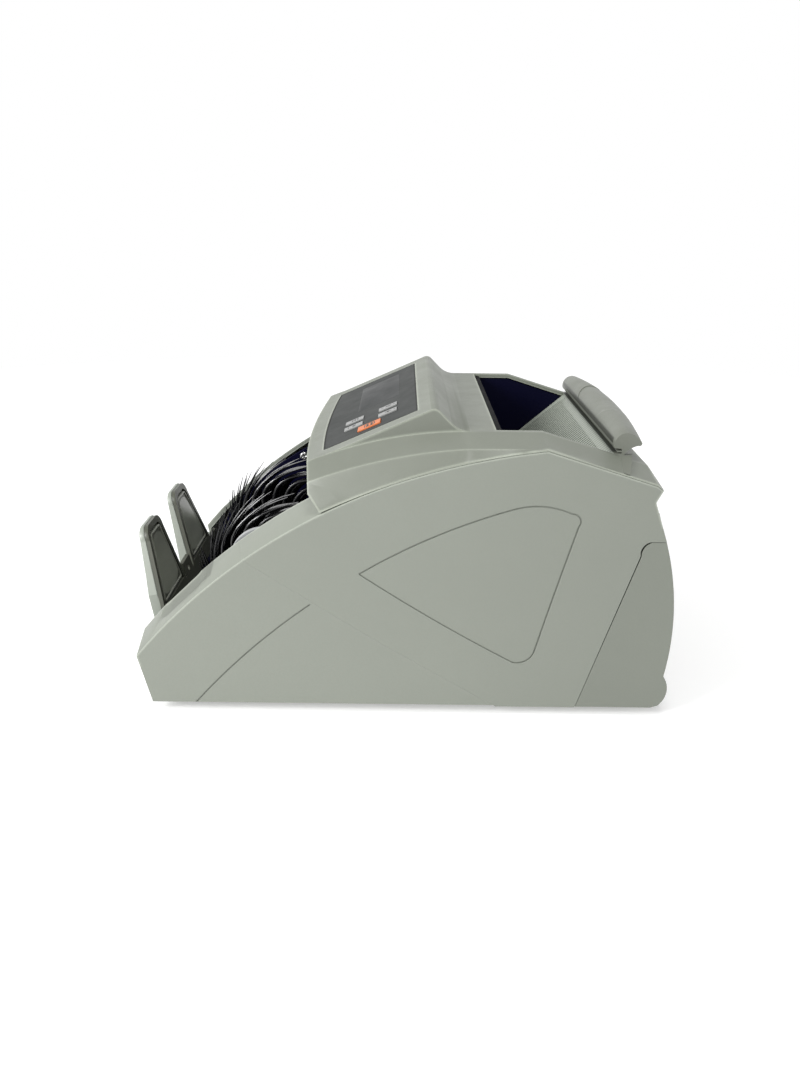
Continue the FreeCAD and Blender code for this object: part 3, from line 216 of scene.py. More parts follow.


def shaded_cheek(mat):
    """Painted shade and light on the side covers: darker finger scoops, rear and front end, and a paler top.
    """
    g = reopen(mat)
    wide = g.ramp(calc(g, "ABSOLUTE", g.x), *SCOOP_OUTER, 1.0, 0.0)
    front = g.ramp(g.y, *SCOOP_FRONT, 0.0, 1.0)
    rear = g.ramp(g.y, *SCOOP_REAR, 1.0, 0.0)
    mask = calc(g, "MULTIPLY", calc(g, "MULTIPLY", front, rear), wide)
    blend(g, mask, 0.66)
    blend(g, g.ramp(g.y, *SIDE_REAR, 0.0, 1.0), 0.93)
    _, up = facing(g)
    top = g.ramp(up, 0.3, 0.6, 0.0, 1.0)
    blend(g, calc(g, "MULTIPLY", top, g.ramp(g.y, *CHEEK_PALE, 0.0, 1.0)), 1.12)
    blend(g, calc(g, "MULTIPLY", top, g.ramp(g.y, *CHEEK_DARK, 1.0, 0.0)), 0.88)
    return mat


def edge_mask(g, radius):
    """1 along edges, found by comparing the surface with a rounded copy of it."""
    rounded = g.add("ShaderNodeBevel", Radius=radius)
    rounded.samples = 6
    dot = g.add("ShaderNodeVectorMath", operation="DOT_PRODUCT")
    g.put(rounded.outputs[0], dot.inputs[0])
    g.put(g.add("ShaderNodeNewGeometry").outputs["Normal"], dot.inputs[1])
    return g.ramp(dot.outputs["Value"], 0.97, 0.997, 1.0, 0.0)


def painted_edge_highlight(mat):
    """Painted highlight: a pale line along the edges."""
    g = reopen(mat)
    blend(g, edge_mask(g, 0.0022), 1.8)
    return mat


BORDER_PEAK = (0.066, 0.130)         # y and z of the top of the curve that runs under the crease
BORDER_BEND = -2.3                   # how fast the curve falls away from there


def painted_crease_highlight(mat):
    """Painted highlight: a pale line along the crease of the cheek, and none on the grooves below the curve.
    """
    g = reopen(mat)
    away = calc(g, "SUBTRACT", g.y, BORDER_PEAK[0])
    border = calc(g, "MULTIPLY_ADD", calc(g, "MULTIPLY", away, away), BORDER_BEND, BORDER_PEAK[1])
    above = g.ramp(calc(g, "SUBTRACT", g.z, border), -0.001, 0.001, 0.0, 1.0)
    blend(g, calc(g, "MULTIPLY", above, edge_mask(g, 0.0018)), 1.6)
    return mat


RIB_PITCH = 0.0038
RIBS_OUTER = (0.0866, 0.0870)        # distance from the middle plane at which the ribs end


def painted_rib_shade(mat):
    """Painted shade: darker between the fine ribs of the feed plate."""
    g = reopen(mat)
    wave = calc(g, "COSINE", calc(g, "MULTIPLY", g.x, 2 * math.pi / RIB_PITCH))
    inside = g.ramp(calc(g, "ABSOLUTE", g.x), *RIBS_OUTER, 1.0, 0.0)
    blend(g, calc(g, "MULTIPLY", g.ramp(wave, -0.45, -0.18, 0.0, 1.0), inside), 0.6)
    return mat


CHANNEL_FRONT = (0.1262, 0.1270)     # y up to which the handle's channel is shaded
CHANNEL_TOP = (0.1578, 0.1588)       # z up to which it is shaded
CHANNEL_RIB = 0.1546                 # z of the rib along it
CHANNEL_END = (0.0915, 0.0925)       # distance from the middle plane at which it ends


def painted_channel_shade(mat):
    """Painted shade: the channel under the handle's crown is dark, apart from the rib along it."""
    g = reopen(mat)
    front = g.ramp(g.y, *CHANNEL_FRONT, 1.0, 0.0)
    under = g.ramp(g.z, *CHANNEL_TOP, 1.0, 0.0)
    bar = g.ramp(calc(g, "ABSOLUTE", calc(g, "SUBTRACT", g.z, CHANNEL_RIB)), 0.0005, 0.0008, 0.0, 1.0)
    wide = g.ramp(calc(g, "ABSOLUTE", g.x), *CHANNEL_END, 1.0, 0.0)
    mask = calc(g, "MULTIPLY", calc(g, "MULTIPLY", front, under), calc(g, "MULTIPLY", bar, wide))
    blend(g, mask, 0.38)
    return mat


INSET_FOOT = (0.052, 0.078)          # z over which the paler foot of the prongs' insets fades out


def lit_foot(mat):
    """Painted shading: paler towards the foot, as a tilted facet that catches more light."""
    g = reopen(mat)
    blend(g, g.ramp(g.z, *INSET_FOOT, 1.0, 0.0), 1.9)
    return mat


STEP_LINE = ((-0.0468, 0.0675), (-0.0073, 0.0443), (0.0158, 0.0295), (0.060, 0.0036))   # y and z


def faint_step(mat):
    """Adds the shallow step that runs down the side covers to a moulded material."""
    g = reopen(mat)
    height = None
    for (y0, z0), (y1, z1) in zip(STEP_LINE, STEP_LINE[1:]):
        slope = (z1 - z0) / (y1 - y0)
        over = calc(g, "SUBTRACT", g.z, calc(g, "MULTIPLY_ADD", g.y, slope, z0 - slope * y0))
        height = over if height is None else calc(g, "MINIMUM", height, over)
    step = g.ramp(height, -0.0003, 0.0003, 0.0, 1.0)
    normal = g.bsdf.inputs["Normal"]
    g.put(g.bump(step, 0.00025, 1.0, normal.links[0].from_socket), normal)
    return mat


MATS = {
    "body_grey": painted_crease_highlight(shaded_cheek(faint_step(moulded("body_grey", srgb(126, 130, 121), 0.44)))),
    "deck_grey": painted_edge_highlight(painted_flank_shade(moulded("deck_grey", srgb(117, 121, 111), 0.44))),
    "rear_grey": moulded("rear_grey", srgb(115, 119, 110), 0.46),
    "base_grey": moulded("base_grey", srgb(128, 131, 124), 0.55),
    "navy": moulded("navy", srgb(1, 1, 30), 0.5, grain=0.00002, spec=0.12),
    "stopper_grey": moulded("stopper_grey", srgb(141, 146, 137), 0.36),
    "pad_dark": moulded("pad_dark", srgb(76, 78, 69), 0.36, grain=0.00001, spec=0.3),
    "boss_grey": moulded("boss_grey", srgb(150, 152, 152), 0.4),
    "plate_grey": painted_rib_shade(moulded("plate_grey", srgb(158, 164, 153), 0.45)),
    "gate_dark": moulded("gate_dark", srgb(12, 13, 15), 0.6, spec=0.05),
    "handle_grey": painted_channel_shade(moulded("handle_grey", srgb(110, 113, 104), 0.42)),
    "overlay_grey": moulded("overlay_grey", srgb(58, 60, 59), 0.5, grain=0.000008, mottle=0.02, spec=0.07),
    "key_grey": moulded("key_grey", srgb(140, 141, 140), 0.4, grain=0.00001, spec=0.3),
    "key_orange": moulded("key_orange", srgb(198, 112, 66), 0.4, grain=0.00001, spec=0.3),
    "blade_black": moulded("blade_black", srgb(10, 10, 12), 0.24, grain=0.000004, coat=0.25),
    "rubber": rubbery("rubber", srgb(30, 30, 32)),
    "steel": metal("steel", srgb(188, 190, 192)),
    "bronze": metal("bronze", srgb(176, 140, 84), 0.4, False),
    "alloy": metal("alloy", srgb(205, 206, 210), 0.3),
    "board_green": moulded("board_green", srgb(20, 82, 46), 0.35),
    "motor_case": metal("motor_case", srgb(130, 132, 136), 0.4),
    "coil": moulded("coil", srgb(120, 84, 40), 0.4),
    "guide_black": moulded("guide_black", srgb(24, 24, 27), 0.4),
    "black_plastic": moulded("black_plastic", srgb(22, 22, 23), 0.42),
}
PRINT_DARK = moulded("print_dark", srgb(52, 52, 50), 0.45, grain=0.000004)
PRINT_LIGHT = moulded("print_light", srgb(208, 210, 206), 0.45, grain=0.000004)
INSET = lit_foot(moulded("inset_satin", srgb(112, 115, 105), 0.2, grain=0.000012, mottle=0.3))
RIM_LIGHT = moulded("inset_rim", srgb(126, 129, 118), 0.3, grain=0.00001)
WINDOW = moulded("display_window", srgb(52, 54, 54), 0.4, grain=0.000002, mottle=0.02, spec=0.08)
SHADOW_GAP = moulded("shadow_gap", srgb(20, 21, 20), 0.7)
BARE_METAL = metal("screw_metal", srgb(205, 206, 205), 0.25)

for node, obj in NODES.items():
    obj.data.materials.clear()
    obj.data.materials.append(MATS[SLOTS[node]])
BLACK_ZINC = metal("black_zinc", srgb(58, 58, 60), 0.4)
NODES["fasteners"].data.materials[0] = BLACK_ZINC


# ---------------------------------------------------------------- rounded edges
KEYS = ("key_reset", "key_add", "key_batch", "key_mode", "key_start")
EDGE_WIDTHS = {              # metres
    "right_side_cover": 0.0006, "left_side_cover": 0.0006, "top_cover": 0.0016, "rear_cover": 0.001,
    "base_tray": 0.0008, "front_stopper": 0.0016, "stopper_lining": 0.0005, "stacker_tray": 0.0006,
    "right_liner": 0.0003, "left_liner": 0.0003, "liner_boss": 0.0005, "feed_plate": 0.0002,
    "hopper_gate": 0.0003, "gate_pads": 0.0005, "carry_handle": 0.0007, "display_overlay": 0.0002,
    "rubber_feet": 0.0006, "mains_inlet": 0.0003, "switch_housing": 0.0003, "power_rocker": 0.0004,
    "fuse_holder": 0.0003, "gap_knob": 0.0003,
}
EDGE_WIDTHS.update({key: 0.0005 for key in KEYS})


def soften(node, width):
    """Merges flat facets, then rounds the sharp edges, less wherever a small detail is too near."""
    obj = NODES[node]
    weld = obj.modifiers.new("weld", "WELD")
    weld.merge_threshold = 0.00001
    flat = obj.modifiers.new("flat", "DECIMATE")
    flat.decimate_type = "DISSOLVE"
    flat.angle_limit = math.radians(0.4)
    bevel = obj.modifiers.new("bevel", "BEVEL")
    bevel.width = width
    bevel.segments = 3
    bevel.limit_method = "ANGLE"
    bevel.angle_limit = math.radians(28.0)
    bevel.harden_normals = True
    bevel.use_clamp_overlap = True


for name, width in EDGE_WIDTHS.items():
    soften(name, width)


# ---------------------------------------------------------------- mesh building
class Builder:
    """Collects rings and faces in millimetres and turns them into one piece in metres."""

    def __init__(self):
        self.mesh = bmesh.new()

    def ring(self, points):
        return [self.mesh.verts.new(Vector(p) / 1000.0) for p in points]

    def face(self, verts):
        return self.mesh.faces.new(verts)

    def skin(self, a, b):
        """Quads between two closed rings of the same length."""
        for k in range(len(a)):
            m = (k + 1) % len(a)
            self.face((a[k], a[m], b[m], b[k]))

    def loft(self, outlines, capped=True):
        rings = [self.ring(points) for points in outlines]
        for a, b in zip(rings, rings[1:]):
            self.skin(a, b)
        if capped:
            self.face(rings[0])
            self.face(rings[-1])
        else:
            self.skin(rings[-1], rings[0])

    def turned(self, at, profile, steps=64, radius=lambda k, r: r, capped=False):
        """Solid of revolution: at(a, r, angle) gives a point for each (a, r) of the profile."""
        outlines = []
        for a, r in profile:
            outlines.append([at(a, radius(k, r), 2 * math.pi * k / steps) for k in range(steps)])
        self.loft(outlines, capped)

    def piece(self, name, material, body, sharp=32.0):
        bmesh.ops.recalc_face_normals(self.mesh, faces=self.mesh.faces)
        data = bpy.data.meshes.new(name)
        self.mesh.to_mesh(data)
        self.mesh.free()
        data.polygons.foreach_set("use_smooth", [True] * len(data.polygons))
        data.set_sharp_from_angle(angle=math.radians(sharp))
        data.materials.append(material)
        obj = bpy.data.objects.new(name, data)
        bpy.context.scene.collection.objects.link(obj)
        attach(obj, body)
        return obj


def about_x(centre):
    """Point at x, at a radius and angle round an axis parallel to X."""
    return lambda x, r, t: (x, centre[0] + r * math.cos(t), centre[1] + r * math.sin(t))


def low(node):
    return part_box(node)[0] * 1000.0


def high(node):
    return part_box(node)[1] * 1000.0


JOINTS = {j["name"]: j for j in frame["record"]["behaviour"]["joints"]}
BORE = 4.3                   # radius of the holes of wheels and rollers, round 8 mm shafts


def axis_at(joint):
    """(y, z) of a joint's axis, in millimetres."""
    place = JOINTS[joint]["pos_m"]
    return (place[1] * 1000.0, place[2] * 1000.0)


# ---------------------------------------------------------------- stacking wheels
BLADE_ROWS = 4
BLADE_COUNT = 20
BLADE_TIP_R = 51.6
BLADE_SWEEP = -1.5           # angle from a blade's root to its tip
BLADE_SECTION = ((-1, -0.4), (-0.88, -1), (0.88, -1), (1, -0.4), (1, 0.4), (0.88, 1), (-0.88, 1), (-1, 0.4))
chance = random.Random(7)


def blade_line(steps=15):
    """Middle line of a blade from the hub to the tip: points, normals and shares of the way.
    It leaves the hub outwards, bends early and runs nearly straight to a trailing tip."""
    start, pull = (10.0, 0.0), (51.0, -20.0)
    tip = (BLADE_TIP_R * math.cos(BLADE_SWEEP), BLADE_TIP_R * math.sin(BLADE_SWEEP))
    line = []
    for k in range(steps + 1):
        t = k / steps
        weights = ((1 - t) ** 2, 2 * t * (1 - t), t * t)
        point = [sum(w * p[i] for w, p in zip(weights, (start, pull, tip))) for i in (0, 1)]
        run = [(1 - t) * (pull[i] - start[i]) + t * (tip[i] - pull[i]) for i in (0, 1)]
        size = math.hypot(*run)
        line.append((point, (-run[1] / size, run[0] / size), t))
    return line


def add_blade(build, centre, turn, x, width):
    """One flexible finger: thin, with rounded edges, narrowing to a sharp tip."""
    flex = chance.uniform(-0.07, 0.07)
    reach = chance.uniform(0.965, 1.0)
    lean = chance.uniform(-0.7, 0.7)
    outlines = []
    for (u, v), (nu, nv), share in blade_line():
        u, v = u * (1 - (1 - reach) * share), v * (1 - (1 - reach) * share)
        thick = 1.0 * (1.0 - share ** 2.6) + 0.12
        wide = width / 2 * (1.0 - 0.8 * max(0.0, (share - 0.62) / 0.38) ** 1.5)
        angle = turn + flex * share ** 2
        c, s = math.cos(angle), math.sin(angle)
        shift = x + lean * share ** 2
        ring = []
        for side, out in BLADE_SECTION:
            py, pz = u + nu * out * thick, v + nv * out * thick
            ring.append((shift + side * wide, centre[0] + py * c - pz * s, centre[1] + py * s + pz * c))
        outlines.append(ring)
    build.loft(outlines)


def stacking_wheel(side, node):
    centre = axis_at("impeller_spin")
    x0, x1 = low(node).x, high(node).x
    build = Builder()
    hub = [(x0, BORE), (x0, 8.0), (x0 + 0.8, 8.8), (x0 + 2.6, 8.8), (x0 + 3.0, 21.0), (x0 + 4.0, 22.0),
           (x1 - 4.0, 22.0), (x1 - 3.0, 21.0), (x1 - 2.6, 8.8), (x1 - 0.8, 8.8), (x1, 8.0), (x1, BORE)]
    build.turned(about_x(centre), hub, 48)
    room = (x1 - x0 - 6.0) / BLADE_ROWS
    for row in range(BLADE_ROWS):
        for k in range(BLADE_COUNT):
            turn = 2 * math.pi * (k + row / BLADE_ROWS) / BLADE_COUNT
            add_blade(build, centre, turn, x0 + 3.0 + room * (row + 0.5), room - 0.5)
    wheel = build.piece(side + "_wheel", MATS["blade_black"], "impellers")
    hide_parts(node)


stacking_wheel("right", "right_impeller")
stacking_wheel("left", "left_impeller")


# ---------------------------------------------------------------- rubber rollers with a cut tread
def treaded(node, joint, body, centres, half, grooves, depth):
    """Rollers with rounded shoulders and shallow grooves across their tread."""
    centre = axis_at(joint)
    outer = (high(node).z - low(node).z) / 2
    build = Builder()
    steps = grooves * 4
    profile = [(-half, BORE), (-half, outer - 1.6), (-half + 0.5, outer - 0.4), (-half + 1.1, outer),
               (half - 1.1, outer), (half - 0.5, outer - 0.4), (half, outer - 1.6), (half, BORE)]

    def radius(k, r):
        return r - depth if r > outer - 1.0 and k % 4 == 0 else r

    at = about_x(centre)
    for x in centres:
        build.turned(lambda a, r, t, x=x: at(x + a, r, t), profile, steps, radius)
    rollers = build.piece(node + "_tread", MATS["rubber"], body, 40.0)
    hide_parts(node)


def spread(node, half, count):
    """Middles of evenly spaced rollers between a node's ends."""
    first, last = low(node).x + half, high(node).x - half
    return [first + (last - first) * k / (count - 1) for k in range(count)]


treaded("feed_rollers", "feed_spin", "feed", spread("feed_rollers", 9.0, 4), 9.0, 36, 0.7)
treaded("pickup_rollers", "pickup_spin", "pickup", spread("pickup_rollers", 8.0, 2), 8.0, 24, 0.5)
transport = [low("transport_rollers").x + 6.0, -20.0, 20.0, high("transport_rollers").x - 6.0]
treaded("transport_rollers", "transport_spin", "transport", transport, 6.0, 28, 0.5)
treaded("pinch_rollers", "pinch_spin", "pinch", transport, 6.0, 20, 0.4)


# ---------------------------------------------------------------- display panel
slide = JOINTS["key_start_press"]["axis"]
PANEL = math.atan2(slide[1], -slide[2])
OVERLAY_END, OVERLAY_THICK = 66.0, 1.2      # far end of the overlay up the slope, its thickness
panel_y = high("display_overlay").y - OVERLAY_END * math.cos(PANEL) - OVERLAY_THICK * math.sin(PANEL)
panel_z = high("display_overlay").z - OVERLAY_END * math.sin(PANEL)


def panel(x, s, h):
    """Point on the sloping panel: x across, s up the slope, h above the overlay."""
    return (x, panel_y + s * math.cos(PANEL) - h * math.sin(PANEL),
            panel_z + s * math.sin(PANEL) + h * math.cos(PANEL))


def rounded_box(x, s, half_x, half_s, corner, steps=5):
    """Outline of a rectangle with rounded corners, as (x, s) pairs."""
    corner = min(corner, half_x - 0.01, half_s - 0.01)
    outline = []
    for quarter, (sx, ss) in enumerate(((1, 1), (-1, 1), (-1, -1), (1, -1))):
        for k in range(steps + 1):
            t = math.pi / 2 * (quarter + k / steps)
            outline.append((x + sx * (half_x - corner) + corner * math.cos(t),
                            s + ss * (half_s - corner) + corner * math.sin(t)))
    return outline


def decal(build, place, x, s, half_x, half_s, corner, base, top):
    """Thin raised mark with a small chamfer."""
    edge = min(0.12, half_x * 0.3, half_s * 0.3)
    levels = ((0, base), (0, top - 0.03), (edge, top))
    build.loft([[place(px, ps, h) for px, ps in rounded_box(x, s, half_x - e, half_s - e, corner)]
                for e, h in levels])


def frame_mark(build, place, x, s, half_x, half_s, corner, width, base, top):
    """Closed outline mark, as a border or a ring."""
    outer = rounded_box(x, s, half_x, half_s, corner)
    inner = rounded_box(x, s, half_x - width, half_s - width, max(corner - width, 0.2))
    rings = [[place(px, ps, h) for px, ps in line] for line, h in
             ((outer, base), (outer, top), (inner, top), (inner, base))]
    build.loft(rings, capped=False)


OVERLAY_START, OVERLAY_BOW = 8.0, 3.0       # near end of the overlay at its corners, and its bow there
border = Builder()
loops = []
for inset, h in ((-0.15, -0.9), (-0.15, 0.06), (0.75, 0.06), (0.75, -0.9)):
    wide = high("display_overlay").x - inset
    points = [(wide, OVERLAY_END - inset), (-wide, OVERLAY_END - inset)]
    for k in range(33):
        x = -wide + 2 * wide * k / 32
        points.append((x, OVERLAY_START + inset - OVERLAY_BOW * (1 - (x / wide) ** 2)))
    loops.append([panel(x, s, h) for x, s in points])
border.loft(loops, capped=False)
border.piece("overlay_border", SHADOW_GAP, "housing")

window = Builder()
decal(window, panel, x=-28.0, s=40.0, half_x=41.0, half_s=14.0, corner=2.0, base=-0.3, top=0.05)
window.piece("display_window", WINDOW, "housing")


# ---------------------------------------------------------------- generic marks on the keys
def key_frame(key):
    """Middle of a key on the panel, as (x, s)."""
    lo, hi = low(key), high(key)
    x, y, z = (lo.x + hi.x) / 2, (lo.y + hi.y) / 2, (lo.z + hi.z) / 2
    return x, (y - panel_y) * math.cos(PANEL) + (z - panel_z) * math.sin(PANEL)


MARKS = {                    # kind, x and s from the middle of the key, half sizes in x and s
    "key_reset": (("ring", 0, 0, 1.6, 1.9), ("bar", 0, 3.9, 0.5, 0.9), ("bar", 0, -3.9, 0.5, 0.9)),
    "key_add": (("bar", 0, 0, 2.1, 0.6), ("bar", 0, 0, 0.6, 2.1), ("bar", 0, 4.0, 0.5, 0.7)),
    "key_batch": (("bar", 0, 1.7, 1.9, 0.5), ("bar", 0, 0, 1.9, 0.5), ("bar", 0, -1.7, 1.9, 0.5)),
    "key_mode": (("bar", -1.2, 0, 0.8, 1.0), ("bar", 1.2, 0, 0.8, 1.0), ("bar", 0, -3.6, 1.2, 0.4)),
    "key_start": (("bar", 0, 1.3, 3.0, 0.7), ("bar", 0, -1.3, 3.0, 0.7), ("ring", 0, 0, 4.0, 3.4)),
}
MARK_BASE, MARK_TOP = 0.5, 0.76             # heights above the overlay, round the keys' top faces
for key in KEYS:
    x, s = key_frame(key)
    build = Builder()
    for kind, dx, ds, hx, hs in MARKS[key]:
        if kind == "ring":
            frame_mark(build, panel, x + dx, s + ds, hx, hs, 1.9, 0.6, MARK_BASE, MARK_TOP)
        else:
            decal(build, panel, x + dx, s + ds, hx, hs, 0.25, MARK_BASE, MARK_TOP)
    build.piece(key + "_mark", PRINT_DARK, key)


# ---------------------------------------------------------------- satin insets of the stopper
LEAN = 0.274                # forward lean of the prongs, dy/dz
BASE = (-145.5, 60.0)       # y and z of a point of their rear faces


def prong_point(x, z, depth):
    """Point behind the leaning rear face of the prongs, at a depth below it."""
    long = math.hypot(1.0, LEAN)
    return (x, BASE[0] - LEAN * (z - BASE[1]) - depth / long, z - depth * LEAN / long)


INSET_LOW, INSET_TOP = 45.0, 84.3           # z of the foot and the top of an inset


def inset_edges(z, inset):
    """How far the inner and the outer edge of an inset are from the middle plane, at a height."""
    return 22.4 + 0.222 * (z - BASE[1]) + inset, 60.3 - 0.4256 * (z - BASE[1]) - inset


def inset_outline(side, inset):
    """Outline of a prong's inset panel, wide below and narrow above, with round corners."""
    z_low, z_top = INSET_LOW + inset, INSET_TOP - inset
    corners = []
    for z, at_outer in ((z_low, True), (z_top, True), (z_top, False), (z_low, False)):
        inner, outer = inset_edges(z, inset)
        corners.append(Vector((side * (outer if at_outer else inner), z)))
    points = []
    for k in range(4):
        here, before, after = corners[k], corners[k - 1], corners[(k + 1) % 4]
        reach = max(2.6 - inset, 0.8)
        start = here + (before - here).normalized() * reach
        end = here + (after - here).normalized() * reach
        for j in range(5):
            t = j / 4
            points.append(start * (1 - t) ** 2 + here * 2 * t * (1 - t) + end * t * t)
    return points


def stopper_inset(side, name):
    """Framed panel let into the dark lining: a fine bead round two slightly tilted facets."""
    bead = Builder()
    levels = ((0.0, 0.72), (0.0, 0.16), (0.35, 0.02), (0.9, 0.02), (1.25, 0.3), (1.25, 0.72))
    bead.loft([[prong_point(p.x, p.y, depth) for p in inset_outline(side, inset)]
               for inset, depth in levels], capped=False)
    bead.piece(name + "_bead", RIM_LIGHT, "housing")
    plate = Builder()
    middle, steps, across = 64.0, 20, 8
    foot, top = INSET_LOW + 1.4, INSET_TOP - 1.4
    rows = []
    for j in range(steps + 1):
        z = foot + (top - foot) * j / steps
        inner, outer = inset_edges(z, 1.3)
        away = abs(z - middle) / 19.0
        rows.append([prong_point(side * (inner + (outer - inner) * i / across), z,
                                 0.2 + 0.55 * away ** 1.2 + 0.12 * abs(2 * i / across - 1) ** 3)
                     for i in range(across + 1)])
    verts = [plate.ring(row) for row in rows]
    for a, b in zip(verts, verts[1:]):
        for i in range(across):
            plate.face((a[i], a[i + 1], b[i + 1], b[i]))
    back = plate.ring([prong_point(p[0], p[2], 0.74) for p in
                       (rows[0][0], rows[0][-1], rows[-1][-1], rows[-1][0])])
    plate.face(back)
    plate.face(verts[0] + [back[1], back[0]])
    plate.face(verts[-1] + [back[2], back[3]])
    plate.face([row[0] for row in verts] + [back[3], back[0]])
    plate.face([row[-1] for row in verts] + [back[2], back[1]])
    plate.piece(name, INSET, "housing", 60.0)


stopper_inset(1, "right_stopper_inset")
stopper_inset(-1, "left_stopper_inset")


# ---------------------------------------------------------------- screws
def screw_head(build, centre, normal, across, radius, height):
    """Domed head with a cross recess. across is a direction in the head's plane."""
    normal, across = Vector(normal).normalized(), Vector(across).normalized()
    other = normal.cross(across)
    centre = Vector(centre)

    steps = 32

    def point(r, t, h):
        return centre + (across * math.cos(t) + other * math.sin(t)) * r + normal * h

    def recess(k, r, h):
        """The cross: a point between the arms stays high, one inside an arm sinks."""
        t = 2 * math.pi * k / steps
        arm = min(abs(r * math.sin(t)), abs(r * math.cos(t)))
        return h - 0.5 * height if r < radius * 0.62 and arm < radius * 0.16 else h

    rows = [(radius, -0.3), (radius, 0.25 * height), (radius * 0.93, 0.6 * height)]
    rows += [(radius * f, height * (1.0 - 0.35 * f * f)) for f in (0.8, 0.62, 0.58, 0.4, 0.22, 0.1)]
    rings = [build.ring([point(r, 2 * math.pi * k / steps, recess(k, r, h)) for k in range(steps)])
             for r, h in rows]
    for a, b in zip(rings, rings[1:]):
        build.skin(a, b)
    build.face(rings[0])
    build.face(rings[-1])


HEAD_RISE = 1.45            # the screws stand this far out of the liners
head_x = abs(high("left_liner").x) - HEAD_RISE


def liner_screw(build, side, y, z):
    """Head of a screw of one liner: side is 1 for the right and -1 for the left."""
    screw_head(build, (side * head_x, y, z), normal=(-side, 0, 0), across=(0, 1, 0.4), radius=3.0, height=1.1)


build = Builder()
liner_screw(build, -1, -70.0, 99.5)
build.piece("bright_screw_head", BARE_METAL, "housing", 50.0)
build = Builder()
for side in (-1, 1):
    liner_screw(build, side, -96.0, 70.0)
    liner_screw(build, side, -100.0, 40.0)
build.piece("liner_screw_heads", BLACK_ZINC, "housing", 50.0)


def rear_hit(x, z):
    """Where a level line from behind meets the rear cover: (point, normal) in millimetres."""
    cover = NODES["rear_cover"]
    found, place, normal, _ = cover.ray_cast(Vector((x, 400, z)) / 1000.0, Vector((0, -1, 0)))
    if not found:
        raise ValueError("no rear cover at %.1f, %.1f" % (x, z))
    return place * 1000.0, normal


build = Builder()
for x, z in ((-108, 30), (108, 30), (-108, 98), (108, 98)):
    place, normal = rear_hit(x, z)
    screw_head(build, place - normal * 0.35, normal, across=(1, 0, 0), radius=3.4, height=1.4)
for x in (44.3, 75.7):
    screw_head(build, (x, high("mains_inlet").y - 0.5, 39.5), normal=(0, 1, 0), across=(0.7, 0, 0.7),
               radius=1.5, height=0.45)
build.piece("rear_screws", BARE_METAL, "housing", 50.0)


# ---------------------------------------------------------------- blank rating plate
PLATE_X, PLATE_Z = -57.0, 36.0
plate_face = rear_hit(PLATE_X, PLATE_Z)[0].y


def rear_plane(x, z, h):
    """Point at a height above the rear cover's face behind the plate."""
    return x, plate_face + h, z


build = Builder()
decal(build, rear_plane, PLATE_X, PLATE_Z, half_x=24.0, half_s=10.0, corner=1.5, base=-0.6, top=0.25)
build.piece("blank_rating_plate", PRINT_LIGHT, "housing")
build = Builder()
frame_mark(build, rear_plane, PLATE_X, PLATE_Z, half_x=22.6, half_s=8.6, corner=1.0, width=0.35,
           base=0.0, top=0.34)
for row in range(4):
    decal(build, rear_plane, PLATE_X - 5.0 + row % 2 * 2, PLATE_Z + 4.5 - 3.0 * row,
          half_x=14.0 - 1.5 * (row % 2), half_s=0.35, corner=0.2, base=0.0, top=0.33)
build.piece("rating_plate_lines", PRINT_DARK, "housing")


# ---------------------------------------------------------------- underside
def under_hit(x, y):
    """Where a plumb line from below meets the base tray, in millimetres."""
    found, place, _, _ = NODES["base_tray"].ray_cast(Vector((x, y, -100)) / 1000.0, Vector((0, 0, 1)))
    if not found:
        raise ValueError("no base tray at %.1f, %.1f" % (x, y))
    return place * 1000.0


build = Builder()
for x in (-74, 74):
    for y in (-92, 0, 88):
        screw_head(build, under_hit(x, y) + Vector((0, 0, 0.4)), normal=(0, 0, -1), across=(1, 0, 0),
                   radius=3.2, height=1.3)
build.piece("base_screws", BLACK_ZINC, "housing", 50.0)

LABEL_Y = 30.0
label_z = under_hit(0, LABEL_Y).z


def under_plane(x, y, h):
    """Point at a height h below the base tray's face at the label."""
    return x, y, label_z - h


build = Builder()
decal(build, under_plane, 0.0, LABEL_Y, half_x=30.0, half_s=18.0, corner=2.0, base=-0.4, top=0.2)
build.piece("base_label", PRINT_LIGHT, "housing")
build = Builder()
frame_mark(build, under_plane, 0.0, LABEL_Y, half_x=28.0, half_s=16.0, corner=1.4, width=0.4,
           base=0.0, top=0.28)
for row in range(6):
    decal(build, under_plane, -4.0, LABEL_Y + 10.0 - 4.0 * row, half_x=19.0 - 3.0 * (row % 3), half_s=0.45,
          corner=0.2, base=0.0, top=0.28)
build.piece("base_label_lines", PRINT_DARK, "housing")


# ---------------------------------------------------------------- studio
FLOOR_RADIUS = 1.3
floor_mesh = bpy.data.meshes.new("floor")
floor_z = low("rubber_feet").z / 1000.0 - 0.0002
rim = [(FLOOR_RADIUS * math.cos(k * math.pi / 48), FLOOR_RADIUS * math.sin(k * math.pi / 48), floor_z)
       for k in range(96)]
floor_mesh.from_pydata(rim, [], [tuple(range(96))])
floor = bpy.data.objects.new("floor", floor_mesh)
bpy.context.scene.collection.objects.link(floor)
g = Graph("floor")
g.put(g.mix(g.noise(1.5, 2.0), srgb(226, 226, 226), srgb(230, 230, 230)), g.bsdf.inputs["Base Color"])
g.bsdf.inputs["Roughness"].default_value = 0.9
g.bsdf.inputs["Specular IOR Level"].default_value = 0.1
g.bsdf.inputs["Emission Color"].default_value = (1, 1, 1, 1)
g.bsdf.inputs["Emission Strength"].default_value = 0.34
floor.data.materials.append(g.mat)

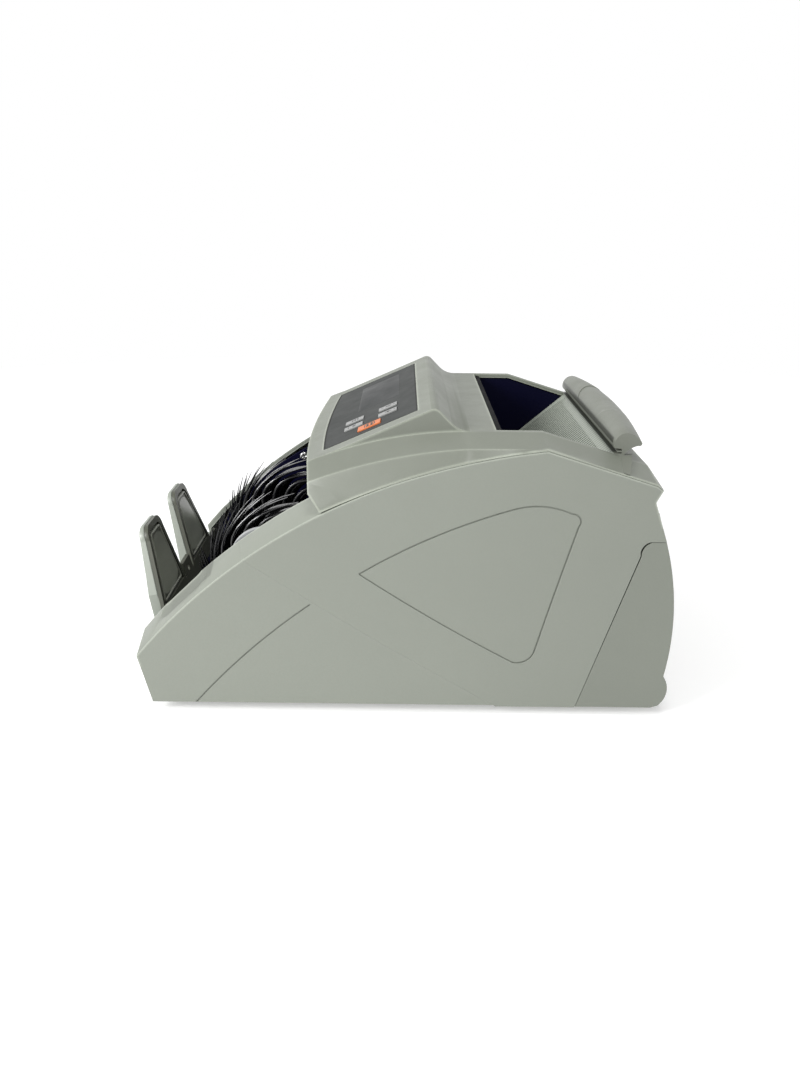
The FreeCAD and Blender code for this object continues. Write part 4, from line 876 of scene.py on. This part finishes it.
world = bpy.data.worlds.new("studio")
world.use_nodes = True
tree = world.node_tree
sky = tree.nodes.new("ShaderNodeTexCoord")
split = tree.nodes.new("ShaderNodeSeparateXYZ")
tree.links.new(sky.outputs["Generated"], split.inputs[0])
above = tree.nodes.new("ShaderNodeMapRange")
above.interpolation_type = "SMOOTHSTEP"
for key, value in (("From Min", 0.25), ("From Max", 0.8), ("To Min", 1.0), ("To Max", 0.6)):
    above.inputs[key].default_value = value
tree.links.new(split.outputs[2], above.inputs["Value"])
tree.nodes["Background"].inputs["Color"].default_value = (1, 1, 1, 1)
tree.links.new(above.outputs["Result"], tree.nodes["Background"].inputs["Strength"])
bpy.context.scene.world = world


def area(name, place, target, size, power):
    data = bpy.data.lights.new(name, "AREA")
    data.shape = "RECTANGLE"
    data.size, data.size_y = size
    data.energy = power
    lamp = bpy.data.objects.new(name, data)
    lamp.location = place
    lamp.rotation_mode = "QUATERNION"
    lamp.rotation_quaternion = (Vector(target) - Vector(place)).to_track_quat("-Z", "Y")
    bpy.context.scene.collection.objects.link(lamp)


LAMP_TARGET = (0, 0, 0.08)
area("front", (0.95, -1.35, 0.85), LAMP_TARGET, size=(0.7, 0.7), power=30.0)
area("top", (0.25, 0.1, 1.6), LAMP_TARGET, size=(0.35, 0.35), power=7.0)

CAMERA_PLACE = (0.643316, 0.0035, 0.282274)
SENSOR_HEIGHT = 36.0
FOCAL_LENGTH, PICTURE_HEIGHT = 1000.0, 1091.0        # in the same unit
tilt, roll = math.radians(18.9576), math.radians(0.66)
ahead = Vector((-math.cos(tilt), 0, -math.sin(tilt)))
right, up = Vector((0, 1, 0)), Vector((-math.sin(tilt), 0, math.cos(tilt)))
across = right * math.cos(roll) + up * math.sin(roll)
upward = up * math.cos(roll) - right * math.sin(roll)
camera = bpy.data.objects.new("camera", bpy.data.cameras.new("camera"))
turned = Matrix((across, upward, -ahead)).transposed().to_4x4()
camera.matrix_world = Matrix.Translation(CAMERA_PLACE) @ turned
camera.data.sensor_fit = "VERTICAL"
camera.data.sensor_height = SENSOR_HEIGHT
camera.data.lens = SENSOR_HEIGHT * FOCAL_LENGTH / PICTURE_HEIGHT
bpy.context.scene.collection.objects.link(camera)
bpy.context.scene.camera = camera
bpy.context.scene.view_settings.view_transform = "Standard"
